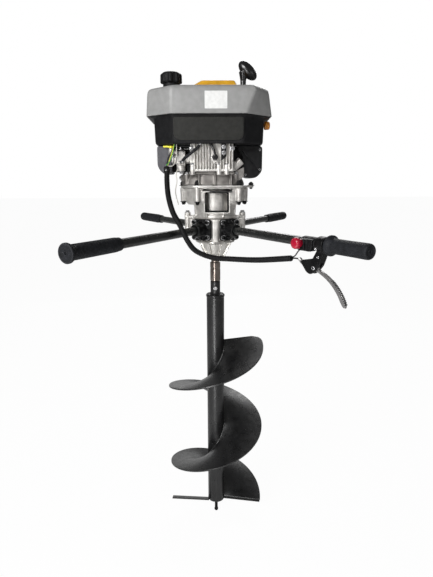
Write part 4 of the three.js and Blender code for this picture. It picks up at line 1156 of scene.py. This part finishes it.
def carburettor(bm):
    """Body, tap arm and two end flanges as blocks; throat, bowl, plug, tap, spindle and inlet as rods."""
    for low, high in (((-105, -65, 1150), (-81, -31, 1189)), ((-116, -83, 1180.5), (-101, -61, 1187.5)),
                      ((-118, -62, 1158), (-113, -32, 1178)), ((-69, -62, 1156), (-64.6, -32, 1180))):
        block(bm, low, high)
    for a, b, r in (((-117.5, -47, 1168), (-64.5, -47, 1168), 13), ((-93, -58, 1136), (-93, -58, 1150), 12),
                    ((-93, -58, 1134), (-93, -58, 1137), 4), ((-117, -82, 1178), (-117, -82, 1193.5), 7),
                    ((-93, -52, 1186), (-93, -52, 1191), 7), ((-100, -70, 1158), (-86, -70, 1158), 5)):
        rod(bm, a, b, r)


piece("carburettor_casting", carburettor, "cast_aluminium", cad="carburettor", melt=(0.9, 2),
      cutter=lambda bm: rod(bm, (-130, -47, 1168), (-60, -47, 1168), 7))


def carburettor_fittings(bm):
    hex_bolt(bm, (-93, -58, 1134.2), DOWN, 9, 4)
    for x, z in ((-101, 1154), (-86, 1185), (-101, 1185)):
        socket_bolt(bm, (x, -64.8, z), FRONT, 2.6, 2.4, False)
    hex_bolt(bm, (-93, -69, 1158), FRONT, 8, 3, False)
    rod(bm, (-84, -78, 1193), (-58, -72, 1193), 1.1, segments=12)
    spring = [Vector((-104 - 0.22 * i, -76 + 2.6 * math.sin(i * 0.7), 1172 + 2.6 * math.cos(i * 0.7)))
              for i in range(60)]
    sweep(bm, spring, 0.7, 8)


piece("carburettor_fittings", carburettor_fittings, "bright_steel")


def throttle_plate_arm(bm):
    rod(bm, (-93, -52, 1191.4), (-93, -52, 1196), 6, edge=0.6)
    prism(bm, rounded([(-96, -80), (-90, -80), (-89, -50), (-97, -50)], 2.5), 1192, 1194.6)
    rod(bm, (-93, -77, 1190), (-93, -77, 1197.5), 2, segments=16)


def fuel_tap_lever(bm):
    rod(bm, (-117, -82, 1194), (-117, -82, 1200.5), 6, edge=0.7)
    prism(bm, rounded([(-138, -85.5), (-116, -87), (-116, -77), (-138, -78.5)], 3), 1196.2, 1200.5)


piece("throttle_plate_arm", throttle_plate_arm, "bright_steel", "throttle_arm", "throttle_arm", bevel=0.2)
piece("fuel_tap_lever", fuel_tap_lever, "lever_yellow", "fuel_valve", "fuel_valve_lever", melt=(0.5, 2))


def hose(bm):
    sweep(bm, smooth_path([(-93, -71, 1158), (-80, -99, 1168), (-62, -108.2, 1181), (-44, -107.5, 1196),
                           (-36, -107, 1212)], 1.6), 3.8, 20)


piece("fuel_line", hose, "grip_rubber", cad="fuel_hose")


def hose_clips(bm):
    for a, b in (((-88, -81.5, 1160.5), (-85, -89, 1163)), ((-41, -107.3, 1200.5), (-39.4, -107.2, 1204.2))):
        rod(bm, a, b, 4.6, segments=24, edge=0.3)


piece("hose_clips", hose_clips, "bright_steel")

# ------ exhaust side
FOOT_PLAN = [(46, 1104), (66, 1108), (80, 1122), (80, 1146), (66, 1140), (46, 1132)]


def exhaust_pipe(bm):
    rod(bm, (51, -64, 1145), (71, -64, 1163), 11.6, edge=0.6)
    block(bm, (46.8, -76, 1136), (56, -50, 1160))


piece("heat_shield", lambda bm: slab(bm, oblong(50, 1134, 80, 1202, 4), -41, -38), "black_casting", bevel=0.5)
piece("muffler_foot", lambda bm: slab(bm, rounded(FOOT_PLAN, 4), -62, -54), "dark_aluminium", bevel=1.2)
piece("exhaust_pipe", exhaust_pipe, "cast_aluminium", cad="exhaust_elbow", melt=(0.8, 2))


def muffler_plan(inset):
    top, left, right, bottom = COWL_BOTTOM - 1 - inset, 62 + inset, 130 - inset, 1117 + inset
    return rounded([(left, top), (left, 1190), (left + 15, 1176), (left + 15, bottom + 9), (88, bottom),
                    (114, bottom), (right, bottom + 17), (right, top)], 9)


def muffler_hollow(bm):
    slab(bm, muffler_plan(2), -44, 42)
    rod(bm, (112, 30, 1132), (112, 60, 1132), 7)


def muffler_screws(bm):
    for x, z in ((123, 1192), (123, 1140), (84, 1126)):
        socket_bolt(bm, (x, -55.8, z), FRONT, 3, 2, False)


def guard_slots(bm):
    for i in range(5):
        m = Matrix.Translation((84 + i * 7.5, -56, 1176 - i * 8)) @ Matrix.Rotation(0.9, 4, "Y")
        block(bm, (-17, -3.4, -1.7), (17, 3.4, 1.7), m)


piece("muffler_can", lambda bm: slab(bm, muffler_plan(0), -46, 44), "black_casting", cad="muffler",
      bevel=3.2, cutter=muffler_hollow)
piece("muffler_cover", lambda bm: slab(bm, muffler_plan(0.4), -56, -46.3), "black_casting",
      cad="muffler_guard",
      bevel=2.4, cutter=guard_slots)
piece("muffler_screws", muffler_screws, "bright_steel")

# ------ covers
COVER_PLAN = [(-113, -130), (80, -130), (152, -70), (152, 82),
              (92, 130), (-122, 130), (-181, 82), (-181, -76)]
COVER_TOP_PLAN = [(-112, -127), (103, -127), (143, -72), (143, 80),
                  (92, 127), (-120, 127), (-177, 80), (-177, -74)]
COWL_PLAN = [(-109, -121), (76, -121), (132, -64), (132, 76),
             (86, 121), (-117, 121), (-162, 76), (-162, -70)]
COVER_X = -14.0
COVER_BOTTOM = 1275.0
FILLER = Vector((-116.0, -35.0, 0))
STARTER = Vector((78.6, -10.0, 0))
KNOB_Y, KNOB_Z = -30.0, 1257.0


def ring_at(plan, kx, ky, z, radius=7.0):
    return [(x, y, z) for x, y in rounded(scaled(plan, kx, ky, COVER_X), radius, 5)]


def cover_between(share, k, z):
    """A ring of the cover part of the way from its bottom outline to its narrower top one."""
    return ring_at(between(COVER_PLAN, COVER_TOP_PLAN, share), k, k, z)


def top_cover(bm):
    """A thin cover: the inner skin from the middle down, then the outer one back up."""
    inner = [cover_between(share, k, z) for share, k, z in
             ((1, 0.62, 1342), (1, 0.87, 1341.6), (1, 0.965, 1332), (0, 0.982, COVER_BOTTOM))]
    outer = [cover_between(share, k, z) for share, k, z in (
        (0, 0.997, COVER_BOTTOM), (0, 1, 1276), (0.9, 1, 1326), (1, 0.999, 1331), (1, 0.99, 1336.5),
        (1, 0.972, 1340.5), (1, 0.945, 1343), (1, 0.905, 1344.3), (1, 0.84, 1345), (1, 0.6, 1345.2))]
    loft(bm, inner + outer)


def top_cover_holes(bm):
    rod(bm, (FILLER.x, FILLER.y, 1325), (FILLER.x, FILLER.y, 1352), 17.6)
    rod(bm, (STARTER.x, STARTER.y, 1325), (STARTER.x, STARTER.y, 1352), 9.6)


piece("cover_shell", top_cover, "cover_grey", cad="top_cover", cutter=top_cover_holes, bevel=0.7, sharp=32)


def cowl(bm):
    """A thin shell from the flat bottom up to the flared lip under the cover, inside first."""
    loft(bm, [ring_at(plan, kx, ky, z) for plan, kx, ky, z in (
        (COWL_PLAN, 0.96, 0.955, COWL_BOTTOM + 10), (COWL_PLAN, 0.973, 0.967, 1271),
        (COVER_PLAN, 0.955, 0.945, COVER_BOTTOM - FIT), (COVER_PLAN, 0.98, 0.975, COVER_BOTTOM - FIT),
        (COVER_PLAN, 0.975, 0.972, 1273.4), (COWL_PLAN, 1.01, 1.01, 1269.6), (COWL_PLAN, 1, 1, 1267),
        (COWL_PLAN, 0.99, 0.99, 1213), (COWL_PLAN, 0.985, 0.985, 1208), (COWL_PLAN, 0.97, 0.97, 1204.5),
        (COWL_PLAN, 0.95, 0.95, COWL_BOTTOM))])


def cowl_openings(bm):
    block(bm, (-70, -112, COWL_BOTTOM - 4), (54, 72, COWL_BOTTOM + 14))
    rod(bm, (110, KNOB_Y, KNOB_Z), (160, KNOB_Y, KNOB_Z), 6)


def cowl_front(bm):
    """A panel that stands a little proud of the front face, with rounded lower corners."""
    plan = rounded([(-107, 1268), (-107, 1222), (-95, 1210.5), (62, 1210.5), (74, 1220), (74, 1268)], 8, 6)
    slab(bm, plan, -123.4, -116)


piece("cowl_shell", cowl, "cowl_black", cad="lower_cowl", cutter=cowl_openings, bevel=0.8, sharp=32)
# the panel's lighter black is painted light, showing the front face brighter than the cowl's sides
piece("cowl_panel_painted_light", cowl_front, "cowl_panel_painted_light", bevel=2.4)
LABEL = Vector((2.5, -128.6, 1307.0))


def blank_label(bm):
    m = Matrix.Translation(LABEL) @ Matrix.Rotation(math.radians(-3.1), 4, "X")
    slab(bm, oblong(-28.5, -21, 28.5, 21, 1.5), -0.3, 0.3, m)


piece("rating_label", blank_label, "label_paper")


def insert(bm):
    """A low hump with sloping sides and three shallow grip ribs on top."""
    low = [(-70, -70), (64, -70), (64, 64), (-70, 64)]
    high = [(-38, -58), (54, -58), (54, 52), (-38, 52)]
    levels = ((0, 1345.3), (0.02, 1346.6), (0.93, 1364.6), (0.99, 1366), (1.06, 1366.9), (1.2, 1367.2))
    loft(bm, [[(x, y, z) for x, y in rounded(between(low, high, share), 9, 6)] for share, z in levels])


def insert_ribs(bm):
    for x in (-20, 8, 36):
        prism(bm, oblong(x - 5, -40, x + 5, 36, 4), 1366, 1368.2)


piece("insert_panel", insert, "accent_orange", cad="cover_insert", bevel=0.6)
piece("insert_ribs", insert_ribs, "accent_orange", bevel=0.8)


def choke(bm):
    """A round knob with twelve fine flutes, on a stem that runs along X."""
    rod(bm, (118, KNOB_Y, KNOB_Z), (137, KNOB_Y, KNOB_Z), 5)
    sideways = Matrix(((0, 0, 1, 0), (1, 0, 0, KNOB_Y), (0, 1, 0, KNOB_Z), (0, 0, 0, 1)))
    levels = ((136, 8.5, 0), (136.6, 10.2, 0.4), (138, 10.7, 0.5), (147, 10.4, 0.5), (150, 9.4, 0.3),
              (151.6, 7, 0), (152, 4, 0))
    loft(bm, [lobed(r, x, 72, lambda a: lobe * math.cos(12 * a)) for x, r, lobe in levels], sideways)


piece("choke_pull_knob", choke, "knob_orange", "choke_knob", "choke_knob", sharp=50)


def cover_screws(bm):
    for x, y in ((-150, 60), (-100, 96), (70, 96), (118, 60), (118, -56)):
        socket_bolt(bm, (x, y, 1344.6), UP, 4, 2)


piece("cover_screws", cover_screws, "bright_steel")


# ------ filler cap and starter
def flat_lobe(angle):
    """Eight waves a turn, cut off flat at 1 and -1."""
    return max(-1.0, min(1.0, 1.6 * math.cos(8 * angle)))


def cap(bm):
    """A screw cap with eight broad lobes and a shallow dish on top."""
    levels = ((1371, 17.6, 0), (1349, 17.6, 0), (1349, 21.4, 0), (1349.8, 22, 0), (1361.5, 22, 0),
              (1362.6, 23, 0.2), (1363.4, 26, 1.3), (1365.5, 27.3, 1.8), (1383.5, 26.9, 1.8), (1386, 26, 1.5),
              (1388, 24.2, 0.8), (1389.6, 21.5, 0), (1390, 19, 0), (1389, 17.6, 0), (1388.6, 16, 0),
              (1388.6, 5, 0))
    loft(bm, [lobed(r, z, 128, lambda a: lobe * flat_lobe(a)) for z, r, lobe in levels],
         Matrix.Translation(FILLER))


piece("filler_cap", cap, "cowl_black", "fuel_cap", "fuel_cap", bevel=0.3, sharp=45)


def pull_handle(bm):
    """An egg-shaped grip, tilted, on a flared neck."""
    tilt = Matrix.Translation((STARTER.x + 12, STARTER.y, 1401.2)) @ Matrix.Rotation(math.radians(44), 4, "Y")
    shape = tilt @ Matrix.Diagonal((31, 16, 17, 1))
    bmesh.ops.create_uvsphere(bm, u_segments=48, v_segments=32, radius=1, matrix=shape)
    turned(bm, [(0, 1337), (9, 1337), (9, 1349), (8.2, 1352), (7.6, 1362), (8, 1376), (10, 1388), (12, 1398),
                (0, 1404)], 40, Matrix.Translation(STARTER))


piece("pull_handle", pull_handle, "gloss_black", "recoil_handle", "recoil_handle", melt=(0.8, 8))
ROPE_LOW, ROPE_HIGH = 1262.0, 1344.0


def rope(bm):
    """Three strands laid together, from the pulley up into the handle."""
    for strand in range(3):
        path = []
        for i in range(101):
            z = ROPE_LOW + (ROPE_HIGH - ROPE_LOW) * i / 100
            a = strand * 2 * math.pi / 3 + i * 0.5
            path.append(STARTER + Vector((1.1 * math.cos(a), 1.1 * math.sin(a), z)))
        sweep(bm, path, 1.15, 8)


def starter_rope():
    """The rope from the pulley up into the handle, made as one object."""
    bm = bmesh.new()
    rope(bm)
    obj = new_object("starter_rope", bm)
    obj.data.shade_smooth()
    obj.data.materials.append(finishes["tank_plastic"])
    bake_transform(obj)


starter_rope()


# ------ cables and wires
def bar_point(t, below):
    return RIGHT @ Vector((t, 0, below))


CONDUIT = [(-129, -84, 1143), (-129, -99, 1112), (-124, -126, 1071), (-110, -165, 1031), (-92, -193, 1003),
           (-72, -199, 962), (-51, -190, 934), (-10, -184, 916), (36, -198, 914), (103, -240, 918),
           bar_point(354, -43)]


def conduit(bm):
    """A corrugated tube: its radius swells and shrinks once in every four steps."""
    sweep(bm, smooth_path(CONDUIT, 1.15), lambda i: (7.3, 7.1, 6.1, 6.3)[i % 4], 18)


# (path, radius): the throttle cable and the switch lead at the right end, then the same two at the engine
CABLES = (
    ([bar_point(352, -43), bar_point(368, -41), bar_point(382, -40.5)], 1.8),
    ([bar_point(352, -42), bar_point(366, -35), bar_point(378, -22), bar_point(397, -12)], 1.5),
    ([(-129, -82, 1150), (-126, -84, 1166), (-119, -84, 1178), (-108, -78, 1190), (-96, -78, 1193)], 1.8),
    ([(-130, -84, 1150), (-124, -90, 1172), (-110, -94, 1196), (-104, -98, 1206)], 1.4),
)
# name: (finish, radius, path)
WIRES = {
    "wire_yellow": ("lever_yellow", 0.9, [(-127, -85, 1150), (-119, -92, 1170), (-113, -94, 1185),
                                          (-108, -96, 1206)]),
    "wire_green": ("wire_green", 0.9, [(-131, -86, 1150), (-121, -95, 1160), (-113, -99, 1178),
                                       (-106, -101, 1206)]),
    "wire_white": ("tank_plastic", 0.9, [(-128, -83, 1148), (-112, -90, 1150), (-104, -93, 1170),
                                         (-101, -97, 1206)]),
    "vent_tube": ("tank_plastic", 1.3, [(-100, -62, 1146), (-106, -70, 1128), (-104, -76, 1108),
                                        (-108, -84, 1080), (-101, -80, 1046)]),
}


def inner_cables(bm):
    for (points, r), segments in zip(CABLES, (14, 12, 12, 12)):
        sweep(bm, smooth_path(points, 1.2), r, segments)


piece("wiring_conduit", conduit, "conduit_black", cad="control_harness", sharp=60)
piece("control_cables", inner_cables, "gloss_black")
for wire_name, (wire_finish, wire_r, points) in WIRES.items():
    piece(wire_name, lambda bm: sweep(bm, smooth_path(points, 1.4), wire_r, 10), wire_finish)


def conduit_ends(bm):
    path = smooth_path(CONDUIT, 4)
    m = towards(path[0], path[4] - path[0])
    outline = [(3, -2), (8.6, -2), (9, -1), (9, 12), (8.4, 13), (6.6, 13), (6.6, 2), (3, 2)]
    turned(bm, outline, 32, m, closed=True)


piece("conduit_sleeves", conduit_ends, "gloss_black", sharp=50)

# ------ inner parts that keep their CAD shape
INNER = {
    "ring_gear": "steel", "planet_gear_1": "steel", "planet_gear_2": "steel", "planet_gear_3": "steel",
    "output_bearing": "bright_steel", "input_bearing": "bright_steel", "crankshaft": "steel",
    "clutch_shoes": "dark_aluminium", "flywheel": "dark_aluminium", "starter_pulley": "cowl_black",
    "piston": "dark_aluminium", "fuel_tank": "tank_plastic",
}
for inner_name, inner_finish in INNER.items():
    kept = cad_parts[inner_name]
    kept.data.materials.clear()
    kept.data.materials.append(finishes[inner_finish])
    ease = kept.modifiers.new("edges", "BEVEL")
    ease.width = 0.25 * MM
    ease.segments = 2
    ease.limit_method = "ANGLE"

# ------ studio (metres)
scene = bpy.context.scene
FLOOR_HALF = 40
FLOOR_GLOW = 0.965       # share of plain white in what the camera sees of the floor
ROOM_LIGHT = 0.2
EYE = Vector((-0.0132, -1.3088, 1.0978))
PITCH, YAW, ROLL = math.radians(13.235), math.radians(0.735), math.radians(-0.222)
LENS = 27.39


def studio_floor():
    """A wide matt floor that looks almost white to the camera and pale grey to everything else."""
    bm = bmesh.new()
    bmesh.ops.create_grid(bm, x_segments=1, y_segments=1, size=FLOOR_HALF / MM)
    floor = new_object("floor", bm)
    material = bpy.data.materials.new("floor")
    material.use_nodes = True
    tree = material.node_tree
    surface = tree.nodes["Principled BSDF"]
    feed(tree, surface.inputs["Base Color"], (0.8, 0.8, 0.8, 1))
    feed(tree, surface.inputs["Roughness"], 0.9)
    seen = node(tree, "LightPath").outputs["Is Camera Ray"]
    mix = node(tree, "MixShader", Fac=times(tree, seen, FLOOR_GLOW))
    feed(tree, mix.inputs[1], surface.outputs["BSDF"])
    feed(tree, mix.inputs[2], node(tree, "Emission").outputs["Emission"])
    feed(tree, tree.nodes["Material Output"].inputs["Surface"], mix.outputs["Shader"])
    floor.data.materials.append(material)


def bright_room():
    """A dim white room that lights the object and looks pure white to the camera."""
    world = bpy.data.worlds.new("studio")
    scene.world = world
    world.use_nodes = True
    sky = world.node_tree
    seen = node(sky, "LightPath").outputs["Is Camera Ray"]
    strength = node(sky, "MapRange", Value=seen, To_Min=ROOM_LIGHT, To_Max=1.0)
    feed(sky, sky.nodes["Background"].inputs["Strength"], strength.outputs["Result"])
    feed(sky, sky.nodes["Background"].inputs["Color"], (1, 1, 1, 1))


def soft_light(name, place_at, target, width, height, power):
    lamp = bpy.data.lights.new(name, "AREA")
    lamp.shape = "RECTANGLE"
    lamp.size = width
    lamp.size_y = height
    lamp.energy = power
    obj = bpy.data.objects.new(name, lamp)
    obj.location = place_at
    obj.rotation_mode = "QUATERNION"
    obj.rotation_quaternion = (Vector(target) - Vector(place_at)).to_track_quat("-Z", "Y")
    obj.visible_camera = False
    scene.collection.objects.link(obj)


def add_camera():
    """The camera, from its eye point, how far it looks down, its heading and its lean."""
    ahead = Vector((math.sin(YAW) * math.cos(PITCH), math.cos(YAW) * math.cos(PITCH), -math.sin(PITCH)))
    level = Vector((math.cos(YAW), -math.sin(YAW), 0))
    above = level.cross(ahead)
    right = level * math.cos(ROLL) + above * math.sin(ROLL)
    above = above * math.cos(ROLL) - level * math.sin(ROLL)
    lens = bpy.data.cameras.new("camera")
    lens.lens = LENS
    lens.sensor_width = 36.0
    lens.clip_start = 0.05
    lens.clip_end = 100
    camera = bpy.data.objects.new("camera", lens)
    scene.collection.objects.link(camera)
    turn = Matrix((right, above, -ahead)).transposed()
    camera.matrix_world = Matrix.Translation(EYE) @ turn.to_4x4()
    scene.camera = camera


studio_floor()
bright_room()
# name: (place, point it faces, width, height, watts)
LIGHTS = {
    "key": ((-1.6, -2.3, 2.2), (0, 0, 1.05), 1.5, 1.05, 86),
    "fill": ((1.6, -2.6, 1.4), (0, 0, 0.9), 1.2, 0.84, 6),
    "strip": ((-0.85, -2.3, 0.62), (0, 0, 0.5), 0.24, 1.2, 17),
    "low_strip": ((-0.22, -0.95, 0.24), (0, 0, 0.30), 0.12, 0.44, 2.4),
    "back": ((0.6, 2.4, 2.6), (0, 0, 1.1), 1.6, 1.12, 34),
    "low_back": ((-0.5, 3.0, 0.34), (-0.1, 0, 0.4), 2.2, 0.6, 3),
}
for name, values in LIGHTS.items():
    soft_light(name, *values)
add_camera()
scene.view_settings.view_transform = "Standard"
